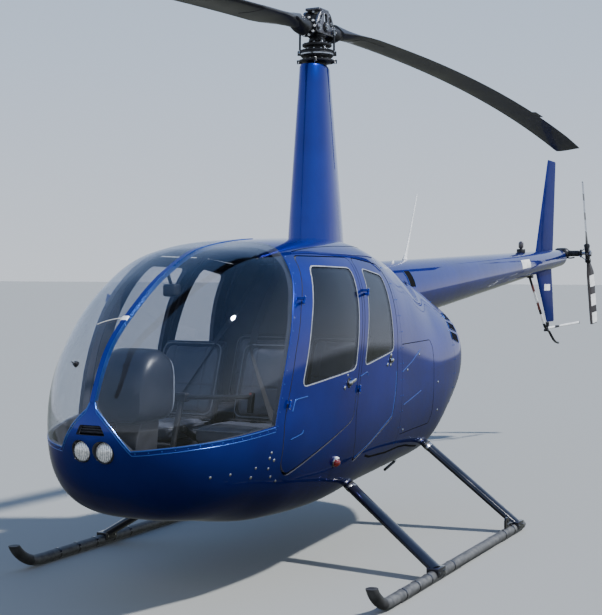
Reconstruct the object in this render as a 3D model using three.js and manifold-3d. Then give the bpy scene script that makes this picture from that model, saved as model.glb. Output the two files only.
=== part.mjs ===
// A light four-seat helicopter on skids, with a two-blade teetering rotor and a tail rotor.
// Millimetres, +Z up, nose towards -Y, the machine's left side towards +X.
// Heights are above the ground. Lengths along y are from the main rotor's axis, aft positive,
// and the whole machine is then moved along y so that its origin is under the middle of its box.

import * as THREE from 'three';
import { mergeVertices } from 'three/addons/utils/BufferGeometryUtils.js';
import Module from 'manifold-3d';

const wasm = await Module();
wasm.setup();

// Driving dimensions

const BOX_MIDDLE_Y = 537;
const SEAT_GAP = 0.4;
const RUNNING_GAP = 5;
const DOOR_GAP = 6;
const WALL = 22;
const COWL_WALL = 15;
const PANE = 5;
const CABIN_END_Y = -97;
const AFT_COWL_Y = 1000;

const ROTOR = { radius: 5030, chord: 254, hubZ: 3165, topZ: 3280, azimuth: 2.7, tilt: 1.15, droop: 413 };
const TAIL_ROTOR = { x: 262, y: 5893, z: 1880, radius: 736.5, chord: 130, pitch: 20, lean: 10.2, teeter: 2.1 };
const MAST = { shaftR: 32, bottomZ: 2700, bearingZ: 2765, bearingR: 33, clearR: 37.5 };
const CONE = {
  startY: 560, endY: 5750, tipY: 5845, refY: 2300, refZ: 1600, rise: 0.067, refR: 186, taper: 0.0297, wall: 8,
};
const SKID = { x: 1064, z: 33, r: 30, rearY: 874, bendY: -1350, tipY: -1650, tipZ: 148 };
const FLOOR = { z: 515, thick: 20 };
const FIREWALL = { y: -120, thick: 20 };
const ENGINE = { frontY: -99.6, rearY: 640, halfWidth: 330, bottomZ: 620, topZ: 1090, shaftZ: 1010 };

// Finishes

const FINISH = {
  body: { color: 0x123a8c, roughness: 0.25, metalness: 0.6 },
  clear: { color: 0x2a3038, roughness: 0.05, metalness: 0, transparent: true, opacity: 0.45 },
  interior: { color: 0x24262a, roughness: 0.8, metalness: 0 },
  seat: { color: 0x303236, roughness: 0.7, metalness: 0 },
  blade: { color: 0x202124, roughness: 0.6, metalness: 0.2 },
  head: { color: 0x34363a, roughness: 0.45, metalness: 0.7 },
  strut: { color: 0x15171c, roughness: 0.25, metalness: 0.6 },
  skid: { color: 0x6c6e70, roughness: 0.6, metalness: 0.5 },
  engine: { color: 0x4a4c4e, roughness: 0.6, metalness: 0.6 },
  exhaust: { color: 0x6e6458, roughness: 0.5, metalness: 0.8 },
  guard: { color: 0xe8e8e6, roughness: 0.5, metalness: 0 },
  lamp: { color: 0xf0f0ea, roughness: 0.1, metalness: 0 },
  red: { color: 0xb01818, roughness: 0.2, metalness: 0 },
  green: { color: 0x187a38, roughness: 0.2, metalness: 0 },
  string: { color: 0xf2f0ea, roughness: 0.9, metalness: 0 },
};

const machine = new THREE.Group();
machine.position.y = -BOX_MIDDLE_Y;

function place(name, solid, finish) {
  const mesh = new THREE.Mesh(geometryOf(solid), new THREE.MeshStandardMaterial(FINISH[finish]));
  mesh.name = name;
  machine.add(mesh);
}

// Solids for joining and cutting

function signedVolume(position, index) {
  const a = new THREE.Vector3();
  const b = new THREE.Vector3();
  const c = new THREE.Vector3();
  let volume = 0;
  for (let i = 0; i < index.count; i += 3) {
    a.fromBufferAttribute(position, index.getX(i));
    b.fromBufferAttribute(position, index.getX(i + 1));
    c.fromBufferAttribute(position, index.getX(i + 2));
    volume += a.dot(b.cross(c));
  }
  return volume;
}

function solidOf(geometry) {
  const bare = geometry.clone();
  bare.deleteAttribute('normal');
  bare.deleteAttribute('uv');
  const merged = mergeVertices(bare, 1e-3);
  const faces = Array.from(merged.index.array);
  const outward = signedVolume(merged.attributes.position, merged.index) > 0;
  const triangles = [];
  for (let i = 0; i < faces.length; i += 3) {
    const [a, b, c] = faces.slice(i, i + 3);
    if (a === b || b === c || c === a) continue;
    triangles.push(a, outward ? b : c, outward ? c : b);
  }
  return new wasm.Manifold(new wasm.Mesh({
    numProp: 3,
    vertProperties: new Float32Array(merged.attributes.position.array),
    triVerts: new Uint32Array(triangles),
  }));
}

function geometryOf(solid) {
  const mesh = solid.getMesh();
  const geometry = new THREE.BufferGeometry();
  geometry.setAttribute('position', new THREE.BufferAttribute(new Float32Array(mesh.vertProperties), 3));
  geometry.setIndex(new THREE.BufferAttribute(new Uint32Array(mesh.triVerts), 1));
  geometry.computeVertexNormals();
  return geometry;
}

function together(solids) {
  return solids.reduce((sum, solid) => sum.add(solid));
}

// Closed loft through rings of equal point counts, each ring a list of [x, y, z]
function loft(rings) {
  const count = rings[0].length;
  const points = rings.flat();
  const index = [];
  for (let r = 0; r + 1 < rings.length; r += 1) {
    for (let i = 0; i < count; i += 1) {
      const j = (i + 1) % count;
      const [a, b, c, d] = [r * count + i, r * count + j, (r + 1) * count + j, (r + 1) * count + i];
      index.push(a, b, c, a, c, d);
    }
  }
  for (const [ring, flip] of [[0, true], [rings.length - 1, false]]) {
    for (let i = 1; i + 1 < count; i += 1) {
      const [b, c] = flip ? [i + 1, i] : [i, i + 1];
      index.push(ring * count, ring * count + b, ring * count + c);
    }
  }
  const geometry = new THREE.BufferGeometry();
  geometry.setAttribute('position', new THREE.Float32BufferAttribute(points.flat(), 3));
  geometry.setIndex(index);
  return solidOf(geometry);
}

// A shape drawn in a plane and carried straight along the third axis, from one value to another
const PLANES = {
  yz: [[0, 1, 0], [0, 0, 1], [1, 0, 0]],
  xy: [[1, 0, 0], [0, 1, 0], [0, 0, 1]],
  zx: [[0, 0, 1], [1, 0, 0], [0, 1, 0]],
};

function shapeOf(points) {
  return new THREE.Shape(points.map(([u, v]) => new THREE.Vector2(u, v)));
}

function prism(plane, points, from, to) {
  const [u, v, w] = PLANES[plane].map((axis) => new THREE.Vector3(...axis));
  const geometry = new THREE.ExtrudeGeometry(shapeOf(points), { depth: to - from, bevelEnabled: false });
  geometry.translate(0, 0, from);
  geometry.applyMatrix4(new THREE.Matrix4().makeBasis(u, v, w));
  return solidOf(geometry);
}

function box(x0, x1, y0, y1, z0, z1) {
  return prism('xy', [[x0, y0], [x1, y0], [x1, y1], [x0, y1]], z0, z1);
}

// Rounds each corner of an outline with an arc-like curve of the given reach
function rounded(points, reach, steps = 2) {
  const out = [];
  points.forEach((corner, i) => {
    const here = new THREE.Vector2(...corner);
    const before = new THREE.Vector2(...points.at(i - 1));
    const after = new THREE.Vector2(...points[(i + 1) % points.length]);
    const start = before.sub(here);
    const end = after.sub(here);
    const most = Math.min(reach, start.length() / 2.2, end.length() / 2.2);
    start.setLength(most).add(here);
    end.setLength(most).add(here);
    const bend = new THREE.QuadraticBezierCurve(start, here, end);
    out.push(...bend.getPoints(steps).map((p) => [p.x, p.y]));
  });
  return out;
}

// Moves every side of an outline outwards, or inwards where the distance is negative
function grown(points, distance) {
  const area = THREE.ShapeUtils.area(points.map(([x, y]) => ({ x, y })));
  const side = area > 0 ? 1 : -1;
  return points.map((corner, i) => {
    const here = new THREE.Vector2(...corner);
    const inward = here.clone().sub(new THREE.Vector2(...points.at(i - 1))).normalize();
    const onward = new THREE.Vector2(...points[(i + 1) % points.length]).sub(here).normalize();
    const normal = new THREE.Vector2(inward.y + onward.y, -inward.x - onward.x).multiplyScalar(side);
    normal.normalize();
    const cosine = Math.max(0.4, normal.dot(new THREE.Vector2(inward.y, -inward.x).multiplyScalar(side)));
    here.addScaledVector(normal, distance / cosine);
    return [here.x, here.y];
  });
}

function circle(cu, cv, radius, sides = 16, radiusV = radius) {
  return Array.from({ length: sides }, (_, i) => {
    const turn = (2 * Math.PI * (i + 0.5)) / sides;
    return [cu + radius * Math.cos(turn), cv + radiusV * Math.sin(turn)];
  });
}

// A straight bar of any section between two points; the section's first axis lies along "across"
function bar(section, from, to, across = [0, 1, 0]) {
  const start = new THREE.Vector3(...from);
  const along = new THREE.Vector3(...to).sub(start);
  const length = along.length();
  along.normalize();
  const v = along.clone().cross(new THREE.Vector3(...across)).normalize();
  const u = v.clone().cross(along);
  const geometry = new THREE.ExtrudeGeometry(shapeOf(section), { depth: length, bevelEnabled: false });
  geometry.applyMatrix4(new THREE.Matrix4().makeBasis(u, v, along).setPosition(start));
  return solidOf(geometry);
}

function rod(from, to, radius, sides = 10) {
  const across = Math.abs(to[1] - from[1]) > 0.8 * Math.hypot(to[0] - from[0], to[2] - from[2]) ? [0, 0, 1] : [0, 1, 0];
  return bar(circle(0, 0, radius, sides), from, to, across);
}

// Turned about a vertical axis through x = 0, y = 0; the profile is [radius, z] and closes on itself
function turned(profile, sides = 16) {
  const outline = [...profile, profile[0]].map(([r, z]) => new THREE.Vector2(r, z));
  const geometry = new THREE.LatheGeometry(outline, sides, Math.PI / sides);
  geometry.rotateX(Math.PI / 2);
  return solidOf(geometry);
}

function bentRod(points, radius, steps, sides = 8) {
  const path = new THREE.CatmullRomCurve3(points.map((p) => new THREE.Vector3(...p)), false, 'centripetal');
  const section = shapeOf(circle(0, 0, radius, sides));
  return solidOf(new THREE.ExtrudeGeometry(section, { steps, bevelEnabled: false, extrudePath: path }));
}

// Fuselage shell
// Each row: y, half width, lowest z, z of the greatest width, highest z, fullness above, fullness below.
// Fullness 2 is an ellipse, and more is squarer.

const HULL_ROWS = [
  [-2390, 0, 900, 900, 900, 2.0, 2.0],
  [-2340, 205, 750, 900, 1116, 2.0, 2.15],
  [-2240, 342, 590, 910, 1295, 2.05, 2.55],
  [-2050, 475, 468, 930, 1463, 2.35, 2.9],
  [-1750, 568, 415, 960, 1651, 2.8, 3.0],
  [-1400, 617, 360, 990, 1781, 3.2, 3.25],
  [-900, 640, 342, 1000, 1837, 3.5, 3.2],
  [-300, 625, 378, 1010, 1858, 3.2, 3.05],
  [200, 600, 405, 1030, 1816, 2.45, 3.15],
  [700, 580, 430, 1050, 1719, 1.9, 3.1],
  [1050, 554, 574, 1070, 1588, 2.0, 2.65],
  [1300, 500, 759, 1085, 1434, 2.45, 2.35],
  [1464, 0, 1098, 1098, 1098, 2.0, 2.0],
];
const HULL_RINGS = 20;
const HULL_POINTS = 28;
const NOSE_Y = HULL_ROWS[0][0];
const TAIL_Y = HULL_ROWS.at(-1)[0];
const HULL_MIDDLE_Y = (NOSE_Y + TAIL_Y) / 2;
const HULL_HALF_LENGTH = (TAIL_Y - NOSE_Y) / 2;
const HULL_HALF_WIDTH = 640;
const HULL_UPPER = 850;
const HULL_LOWER = 660;

// How far along the shell a section lies, 0 at the nose and 1 at the tail, closer together at both ends
function alongHull(y) {
  return Math.acos(THREE.MathUtils.clamp((HULL_MIDDLE_Y - y) / HULL_HALF_LENGTH, -1, 1)) / Math.PI;
}

const HULL_STATIONS = HULL_ROWS.map(([y]) => alongHull(y));

// Smooth curve through one column of the table that never swings past its rows
function hullColumn(column) {
  const values = HULL_ROWS.map((row) => row[column]);
  const last = values.length - 1;
  const rise = values.slice(0, last).map((v, i) => (values[i + 1] - v) / (HULL_STATIONS[i + 1] - HULL_STATIONS[i]));
  const slope = values.map((v, i) => {
    if (i === 0) return rise[0];
    if (i === last) return rise[last - 1];
    return rise[i - 1] * rise[i] <= 0 ? 0 : (2 * rise[i - 1] * rise[i]) / (rise[i - 1] + rise[i]);
  });
  return (s) => {
    const found = HULL_STATIONS.findIndex((station) => station > s);
    const i = found < 0 ? last - 1 : Math.max(0, found - 1);
    const gap = HULL_STATIONS[i + 1] - HULL_STATIONS[i];
    const t = (s - HULL_STATIONS[i]) / gap;
    const h00 = (1 + 2 * t) * (1 - t) ** 2;
    const h10 = t * (1 - t) ** 2;
    const h01 = t * t * (3 - 2 * t);
    const h11 = t * t * (t - 1);
    return h00 * values[i] + h10 * gap * slope[i] + h01 * values[i + 1] + h11 * gap * slope[i + 1];
  };
}

const [halfWidthAt, bottomAt, waistAt, topAt, upperFullAt, lowerFullAt] = [1, 2, 3, 4, 5, 6].map(hullColumn);

function hullRing(s, inset) {
  const y = HULL_MIDDLE_Y - (HULL_HALF_LENGTH - inset) * Math.cos(Math.PI * s);
  const width = (halfWidthAt(s) * (HULL_HALF_WIDTH - inset)) / HULL_HALF_WIDTH;
  const waist = waistAt(s);
  const up = ((topAt(s) - waist) * (HULL_UPPER - inset)) / HULL_UPPER;
  const down = ((waist - bottomAt(s)) * (HULL_LOWER - inset)) / HULL_LOWER;
  return Array.from({ length: HULL_POINTS }, (_, i) => {
    const turn = (2 * Math.PI * i) / HULL_POINTS;
    const [c, d] = [Math.cos(turn), Math.sin(turn)];
    const power = 2 / (d >= 0 ? upperFullAt(s) : lowerFullAt(s));
    const reach = d >= 0 ? up : down;
    return [
      width * Math.sign(c) * Math.abs(c) ** power,
      y,
      waist + reach * Math.sign(d) * Math.abs(d) ** power,
    ];
  });
}

function hullSolid(inset) {
  const rings = [];
  for (let k = 0; k <= HULL_RINGS; k += 1) rings.push(hullRing(k / HULL_RINGS, inset));
  const tip = (ring) => ring.map(() => [0, ring[0][1], ring[0][2]]);
  rings[0] = tip(rings[0]);
  rings[HULL_RINGS] = tip(rings[HULL_RINGS]);
  return loft(rings);
}

function skinLayer(outerInset, innerInset) {
  return hullSolid(outerInset).subtract(hullSolid(innerInset));
}

// Half width of the shell at a length and a height
function skinX(y, z) {
  const s = alongHull(y);
  const waist = waistAt(s);
  const [reach, full] = z > waist ? [topAt(s) - waist, upperFullAt(s)] : [waist - bottomAt(s), lowerFullAt(s)];
  const part = Math.min(1, Math.abs(z - waist) / reach);
  return halfWidthAt(s) * (1 - part ** full) ** (1 / full);
}

const HULL = hullSolid(0);
const HULL_CLEAR = hullSolid(-SEAT_GAP);
const CABIN_INSIDE = hullSolid(WALL + SEAT_GAP);
const CABIN_SKIN = skinLayer(0, WALL);
const COWL_SKIN = skinLayer(0, COWL_WALL);
const PANE_SKIN = skinLayer(0, PANE);
const SIDE_REACH = 720;
const SIDE_START = 60;

function sideOf(outline, side) {
  return side > 0
    ? prism('yz', outline, SIDE_START, SIDE_REACH)
    : prism('yz', outline, -SIDE_REACH, -SIDE_START);
}

function mirroredX(outline, side) {
  return outline.map(([x, y]) => [side * x, y]);
}

// Doors, windows and windshield, as outlines in the side view: y, z

const SEAM_LEAN = 0.295;
const FRONT_DOOR = rounded([
  [-1190, 1736], [-611, 1736], [-868, 862], [-1548, 652], [-1602, 700], [-1592, 930], [-1486, 1250], [-1380, 1470],
], 45);
const FRONT_WINDOW = rounded([
  [-1142, 1688], [-682, 1680], [-830, 1131], [-1440, 1075], [-1310, 1400], [-1225, 1560],
], 50);
const REAR_DOOR = rounded([
  [-571, 1736], [-824, 880], [-800, 625], [-250, 815], [-200, 960], [-165, 1300], [-150, 1600], [-185, 1700],
], 40);
const REAR_WINDOW = rounded([[-520, 1680], [-233, 1640], [-245, 1200], [-706, 1140]], 45);

// The windshield half is where three outlines agree: side (y, z), front (z, x) and plan (x, y)
const WINDSHIELD_SIDE = [
  [-2500, 820], [-2340, 836], [-1668, 905], [-1655, 975], [-1612, 1120], [-1562, 1250], [-1458, 1470],
  [-1370, 1600], [-1268, 1736], [-1100, 1850], [-700, 1990], [-2500, 1990],
];
const WINDSHIELD_FRONT = [[836, 190], [1030, 20], [1060, 14], [2000, 14], [2000, 720], [836, 720]];
const WINDSHIELD_PLAN = [
  [8, -2600], [8, -850], [120, -872], [300, -1000], [430, -1130], [540, -1270], [620, -1330], [720, -1400],
  [720, -2600],
];

function windshield(side, gap) {
  const front = grown(WINDSHIELD_FRONT, -gap).map(([z, x]) => [z, side * x]);
  return prism('yz', grown(WINDSHIELD_SIDE, -gap), -SIDE_REACH, SIDE_REACH)
    .intersect(prism('zx', front, -2600, -300))
    .intersect(prism('xy', mirroredX(grown(WINDSHIELD_PLAN, -gap), side), 600, 2000));
}

// The lower shell reaches up to the window line, and to the peak in front of the windshield strip
const SPLIT = [
  [CABIN_END_Y, 885], [-1700, 885], [-1700, 930], [-2250, 930], [-2250, 1050], [-2450, 1050],
];
const BELOW_SPLIT = [...SPLIT, [-2450, 300], [CABIN_END_Y, 300]];
const ABOVE_SPLIT = [...grown([...SPLIT, [-2450, 2000], [CABIN_END_Y, 2000]], -SEAT_GAP)];
const STRIP = { halfWidth: 14, endY: -850, proud: 4 };
const LAMPS = { x: 75, z: 823, r: 62, frontY: -2395, backY: -2300 };
const AIR_SLOT = rounded([[909, -60], [909, 60], [948, 74], [948, -74]], 8);

// Tail cone, used here to cut the cowls that it leaves

function coneZ(y) {
  return CONE.refZ + CONE.rise * (y - CONE.refY);
}

function coneR(y) {
  return CONE.refR - CONE.taper * (y - CONE.refY);
}

function coneRing(y, radius) {
  return circle(0, coneZ(y), radius, 20).map(([x, z]) => [x, y, z]);
}

function coneSolid(extra, from = CONE.startY) {
  const end = coneR(CONE.endY);
  return loft([
    coneRing(from, coneR(from) + extra),
    coneRing(CONE.endY, end + extra),
    coneRing(CONE.endY + 60, end * 0.82 + extra),
    coneRing(CONE.tipY, end * 0.5 + extra),
  ]);
}

const CONE_CLEAR = coneSolid(SEAT_GAP, CONE.startY - 50);

// Landing gear: a leg's foot and the point where it meets the belly, then the tube across inside

const LEGS = [
  { name: 'front_cross_tube', foot: [SKID.x, -718, 60], top: [469, -530, 443], inside: 1.1 },
  { name: 'rear_cross_tube', foot: [SKID.x, 752, 60], top: [469, 704, 536], inside: 1.12 },
];
const LEG_SECTION = circle(0, 0, 50, 14, 25);
const LEG_HOLE = circle(0, 0, 50 + SEAT_GAP * 2, 14, 25 + SEAT_GAP * 2);
const CROSS_TUBE_R = 22;

function legPoint(leg, part, side) {
  return leg.foot.map((v, i) => (i === 0 ? side : 1) * (v + (leg.top[i] - v) * part));
}

function legs(leg, section) {
  return together([1, -1].map((side) => bar(section, legPoint(leg, 0.01, side), legPoint(leg, leg.inside, side))));
}

function skid(side, extra = 0) {
  const x = side * SKID.x;
  const r = SKID.r + extra;
  const straight = rod([x, SKID.bendY, SKID.z], [x, SKID.rearY, SKID.z], r, 16);
  const bend = new THREE.CatmullRomCurve3([
    [SKID.bendY + 4, SKID.z], [SKID.bendY - 90, SKID.z + 6], [SKID.bendY - 170, SKID.z + 40],
    [SKID.bendY - 236, SKID.z + 95], [SKID.bendY - 276, SKID.z + 165],
  ].map(([y, z]) => new THREE.Vector3(x, y, z)), false, 'centripetal');
  const section = shapeOf(circle(0, 0, r, 16));
  const toe = solidOf(new THREE.ExtrudeGeometry(section, { steps: 8, bevelEnabled: false, extrudePath: bend }));
  return straight.add(toe).subtract(box(x - 90, x + 90, SKID.tipY - 90, SKID.bendY, SKID.tipZ, SKID.tipZ + 200));
}

const SHOES = [[-1250, -350], [420, 830]];
const SHOE = { halfWidth: 17, thick: 12 };
const WHEEL_LUG = { y0: 520, y1: 590, half: 6, top: 128 };

function landingGear() {
  for (const [name, side] of [['skid_left', 1], ['skid_right', -1]]) {
    const x = side * SKID.x;
    const shoes = SHOES.map(([y0, y1]) => box(x - SHOE.halfWidth, x + SHOE.halfWidth, y0, y1, 0, SHOE.thick));
    const lug = box(x - WHEEL_LUG.half, x + WHEEL_LUG.half, WHEEL_LUG.y0, WHEEL_LUG.y1, SKID.z, WHEEL_LUG.top);
    place(name, together([skid(side), ...shoes, lug]), 'skid');
  }
  for (const leg of LEGS) {
    const [, y, z] = legPoint(leg, leg.inside, 1);
    const half = legPoint(leg, leg.inside, 1)[0];
    const across = rod([-half, y, z], [half, y, z], CROSS_TUBE_R, 12);
    const saddles = [1, -1].map((side) => {
      const [fx, fy] = legPoint(leg, 0, side);
      return box(fx - 36, fx + 36, fy - 62, fy + 62, SKID.z - 6, SKID.z + SKID.r + 14);
    });
    const whole = together([legs(leg, LEG_SECTION), across, ...saddles]);
    place(leg.name, whole.subtract(skid(1, SEAT_GAP)).subtract(skid(-1, SEAT_GAP)), 'strut');
  }
}

// Cabin shell with its doors and panes

// Each hinge point: y and z in the side view, and how far its axis stands off the skin
const HINGES = {
  front: { upper: [-1385, 1510, 34], lower: [-1572, 1000, 14] },
  rear: { upper: [-645, 1545, 36], lower: [-800, 1020, 10] },
};
const KNUCKLE = { r: 8, length: 24, gap: 0.6, deep: 12, reach: { door: 62, frame: -8 } };

function hingePoint([y, z, out], side) {
  return [side * (skinX(y, z) + out), y, z];
}

// A knuckle on the hinge's axis, with its arm back into the door or straight into the frame
function knuckle(which, end, side, carrier) {
  const [top, bottom] = ['upper', 'lower'].map((at) => new THREE.Vector3(...hingePoint(HINGES[which][at], side)));
  const axis = top.clone().sub(bottom).normalize();
  const sense = carrier === 'door' ? -1 : 1;
  const middle = (end === 'upper' ? top : bottom).addScaledVector(axis, (sense * (KNUCKLE.length + KNUCKLE.gap)) / 2);
  const half = axis.clone().multiplyScalar(KNUCKLE.length / 2);
  const barrel = rod(middle.clone().sub(half).toArray(), middle.clone().add(half).toArray(), KNUCKLE.r, 8);
  const rootY = middle.y + KNUCKLE.reach[carrier];
  const root = [side * (skinX(rootY, middle.z) - KNUCKLE.deep), rootY, middle.z];
  const arm = bar([[-9, -3], [9, -3], [9, 3], [-9, 3]], middle.toArray(), root, axis.toArray());
  return barrel.add(arm);
}

function knuckles(which, side, carrier) {
  return together(['upper', 'lower'].map((end) => knuckle(which, end, side, carrier)));
}

// The opening a door leaves: wider where the swinging edge needs it. Each relief: y, z, reach, shift in y and z.
const RELIEFS = {
  front: [[-1560, 665, 160, 0, -9]],
  rear: [[-800, 640, 160, 0, -10], [-170, 1680, 200, 9, 0]],
};

function doorOpening(which, outline) {
  return grown(outline, DOOR_GAP).map(([y, z]) => {
    const moved = [y, z];
    for (const [ry, rz, reach, dy, dz] of RELIEFS[which]) {
      const near = Math.min(1, Math.max(0, 1.6 - (1.6 * Math.hypot(y - ry, z - rz)) / reach));
      moved[0] += near * dy;
      moved[1] += near * dz;
    }
    return moved;
  });
}

function cabinShell() {
  const openings = [];
  const frameKnuckles = [];
  for (const [label, side] of [['left', 1], ['right', -1]]) {
    openings.push(windshield(side, 0));
    openings.push(sideOf(doorOpening('front', FRONT_DOOR), side));
    openings.push(sideOf(doorOpening('rear', REAR_DOOR), side));
    frameKnuckles.push(knuckles('front', side, 'frame'), knuckles('rear', side, 'frame'));
    place(`windshield_${label}`, PANE_SKIN.intersect(windshield(side, SEAT_GAP)), 'clear');
    for (const [which, door, window] of [
      ['front', FRONT_DOOR, FRONT_WINDOW],
      ['rear', REAR_DOOR, REAR_WINDOW],
    ]) {
      const panel = CABIN_SKIN.intersect(sideOf(door, side)).subtract(sideOf(window, side));
      place(`door_${which}_${label}`, panel.add(knuckles(which, side, 'door')), 'body');
      const pane = skinLayer(2, 2 + PANE).intersect(sideOf(grown(window, -SEAT_GAP), side));
      place(`window_${which}_${label}`, pane, 'clear');
    }
  }
  const open = together(openings);
  const shell = CABIN_SKIN.subtract(open);
  const strip = box(-STRIP.halfWidth - 6, STRIP.halfWidth + 6, -2500, STRIP.endY, 1050, 2000);
  const lampHoles = [1, -1].map((side) => rod(
    [side * LAMPS.x, LAMPS.frontY - 20, LAMPS.z], [side * LAMPS.x, LAMPS.backY, LAMPS.z], LAMPS.r, 20,
  ));
  const legHoles = LEGS.map((leg) => legs(leg, LEG_HOLE));
  const lower = shell
    .intersect(prism('yz', BELOW_SPLIT, -SIDE_REACH, SIDE_REACH))
    .subtract(together([...lampHoles, ...legHoles]))
    .subtract(prism('zx', AIR_SLOT, -2500, -2250));
  place('lower_hull', lower, 'body');
  const upper = shell
    .intersect(prism('yz', ABOVE_SPLIT, -SIDE_REACH, SIDE_REACH))
    .subtract(strip);
  place('roof_frame', together([upper, ...frameKnuckles]), 'body');
  const stripBox = box(-STRIP.halfWidth, STRIP.halfWidth, -2500, STRIP.endY - SEAT_GAP, 1050 + SEAT_GAP, 2000);
  place('windshield_strip', skinLayer(-STRIP.proud, WALL).intersect(stripBox), 'body');
  const lamps = together([1, -1].map((side) => rod(
    [side * LAMPS.x, LAMPS.frontY - 20, LAMPS.z], [side * LAMPS.x, LAMPS.backY, LAMPS.z], LAMPS.r - SEAT_GAP, 20,
  )));
  const lampPlate = box(-110, 110, LAMPS.backY - 12, LAMPS.backY, LAMPS.z - 30, LAMPS.z + 30);
  place('landing_lights', lamps.add(lampPlate).intersect(hullSolid(4)), 'lamp');
}

// Engine cowls, with the fan's opening at the back and the open belly under the engine

const FAN = { z: 1020, r: 215, hole: 232, hubR: 70, frontY: 1120, backY: 1200, shaftR: 18, blades: 9 };
const BELLY = { halfWidth: 250, y0: 60, y1: 560 };

function cowls() {
  const fanHole = rod([0, 1150, FAN.z], [0, 1600, FAN.z], FAN.hole, 28);
  const belly = box(-BELLY.halfWidth, BELLY.halfWidth, BELLY.y0, BELLY.y1, 300, 700);
  const legHoles = LEGS.map((leg) => legs(leg, LEG_HOLE));
  const cut = COWL_SKIN.subtract(together([fanHole, belly, CONE_CLEAR, ...legHoles]));
  const start = CABIN_END_Y + SEAT_GAP;
  place('cowl_left', cut.intersect(box(SEAT_GAP / 2, 800, start, AFT_COWL_Y, 0, 2500)), 'body');
  place('cowl_right', cut.intersect(box(-800, -SEAT_GAP / 2, start, AFT_COWL_Y, 0, 2500)), 'body');
  place('aft_cowl', cut.intersect(box(-800, 800, AFT_COWL_Y + SEAT_GAP, 1600, 0, 2500)), 'body');
}

function engineBay() {
  const e = ENGINE;
  const block = box(-e.halfWidth, e.halfWidth, e.frontY, e.rearY, e.bottomZ, e.topZ);
  const boss = rod([0, e.rearY - 10, e.shaftZ], [0, e.rearY + 60, e.shaftZ], 60, 16);
  const bore = rod([0, e.rearY, e.shaftZ], [0, e.rearY + 80, e.shaftZ], FAN.shaftR + 0.6, 16);
  place('engine_block', block.add(boss).subtract(bore), 'engine');
  const muffler = rod([-260, 400, e.bottomZ - 60 - SEAT_GAP], [260, 400, e.bottomZ - 60 - SEAT_GAP], 60, 16);
  const pipe = rod([200, 400, e.bottomZ - 70], [215, 520, 425], 27, 12);
  const strap = box(-40, 40, 370, 430, e.bottomZ - 40, e.bottomZ - SEAT_GAP);
  place('exhaust_muffler', together([muffler, pipe, strap]), 'exhaust');
  const shaft = rod([0, e.rearY + 0.6, FAN.z - 10], [0, FAN.backY, FAN.z - 10], FAN.shaftR, 16);
  const hub = rod([0, FAN.frontY, FAN.z - 10], [0, FAN.backY, FAN.z - 10], FAN.hubR, 18);
  const vanes = Array.from({ length: FAN.blades }, (_, i) => {
    const turn = (2 * Math.PI * i) / FAN.blades;
    const [c, s] = [Math.cos(turn), Math.sin(turn)];
    const vane = [[-32, -5], [32, -5], [32, 5], [-32, 5]];
    const z = FAN.z - 10;
    const middle = (FAN.frontY + FAN.backY) / 2;
    return bar(vane, [50 * c, middle, z + 50 * s], [FAN.r * c, middle, z + FAN.r * s], [0.4 * s, 1, -0.4 * c]);
  });
  place('cooling_fan', together([shaft, hub, ...vanes]), 'engine');
}

// Cabin inside

// A seat in the side view: its box on the floor with the cushion, and the back that leans aft
const SEAT_BASE = [[0, 0], [470, 0], [500, 300], [430, 330], [10, 330], [-15, 290]];
const SEAT_BACK = [[405, 312], [500, 290], [632, 715], [612, 745], [572, 745], [548, 715]];
const SEATS = [
  { name: 'seat_front', y: -1610 },
  { name: 'seat_rear', y: -756 },
];
const SEAT_SIDE = { inner: 40, outer: 500, backInner: 62, backOuter: 452 };

function cabinInside() {
  const f = FLOOR;
  const top = f.z + f.thick;
  place('cabin_floor', CABIN_INSIDE.intersect(box(-700, 700, -2290, FIREWALL.y - SEAT_GAP, f.z, top)), 'interior');
  const wallY = FIREWALL.y;
  place('firewall', CABIN_INSIDE.intersect(box(-700, 700, wallY, wallY + FIREWALL.thick, 300, 2000)), 'interior');
  const clear = hullSolid(WALL + 3 * RUNNING_GAP);
  for (const { name, y } of SEATS) {
    for (const [label, side] of [['left', 1], ['right', -1]]) {
      const piece = (profile, inner, outer) => prism(
        'yz', profile.map(([u, v]) => [y + u, top + SEAT_GAP + v]), Math.min(side * inner, side * outer),
        Math.max(side * inner, side * outer),
      );
      const base = piece(SEAT_BASE, SEAT_SIDE.inner, SEAT_SIDE.outer);
      const back = piece(SEAT_BACK, SEAT_SIDE.backInner, SEAT_SIDE.backOuter);
      place(`${name}_${label}`, base.add(back).intersect(clear), 'seat');
    }
  }
  const pedestal = prism('yz', [
    [-2150, top + SEAT_GAP], [-1960, top + SEAT_GAP], [-1900, 800], [-1865, 1060], [-2010, 1090], [-2120, 850],
  ], -95, 95);
  const hood = prism('yz', rounded([
    [-1835, 930], [-1830, 1150], [-1850, 1255], [-1960, 1290], [-2070, 1235], [-2110, 1110], [-2095, 930],
  ], 45), -165, 165);
  place('instrument_console', pedestal.add(hood).intersect(clear), 'interior');
  const stick = together([
    rod([0, -1690, top + SEAT_GAP], [0, -1690, top + 22], 45, 16),
    bentRod([[0, -1690, top + 8], [0, -1690, 700], [0, -1640, 860], [0, -1585, 1010]], 16, 8, 8),
    rod([-400, -1585, 990], [400, -1585, 1030], 13, 10),
    rod([-400, -1592, 912], [-400, -1570, 1012], 19, 10),
    rod([400, -1592, 950], [400, -1570, 1050], 19, 10),
  ]);
  place('cyclic_stick', stick, 'head');
}

// Mast fairing, swashplate, rotor head and blades

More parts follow.
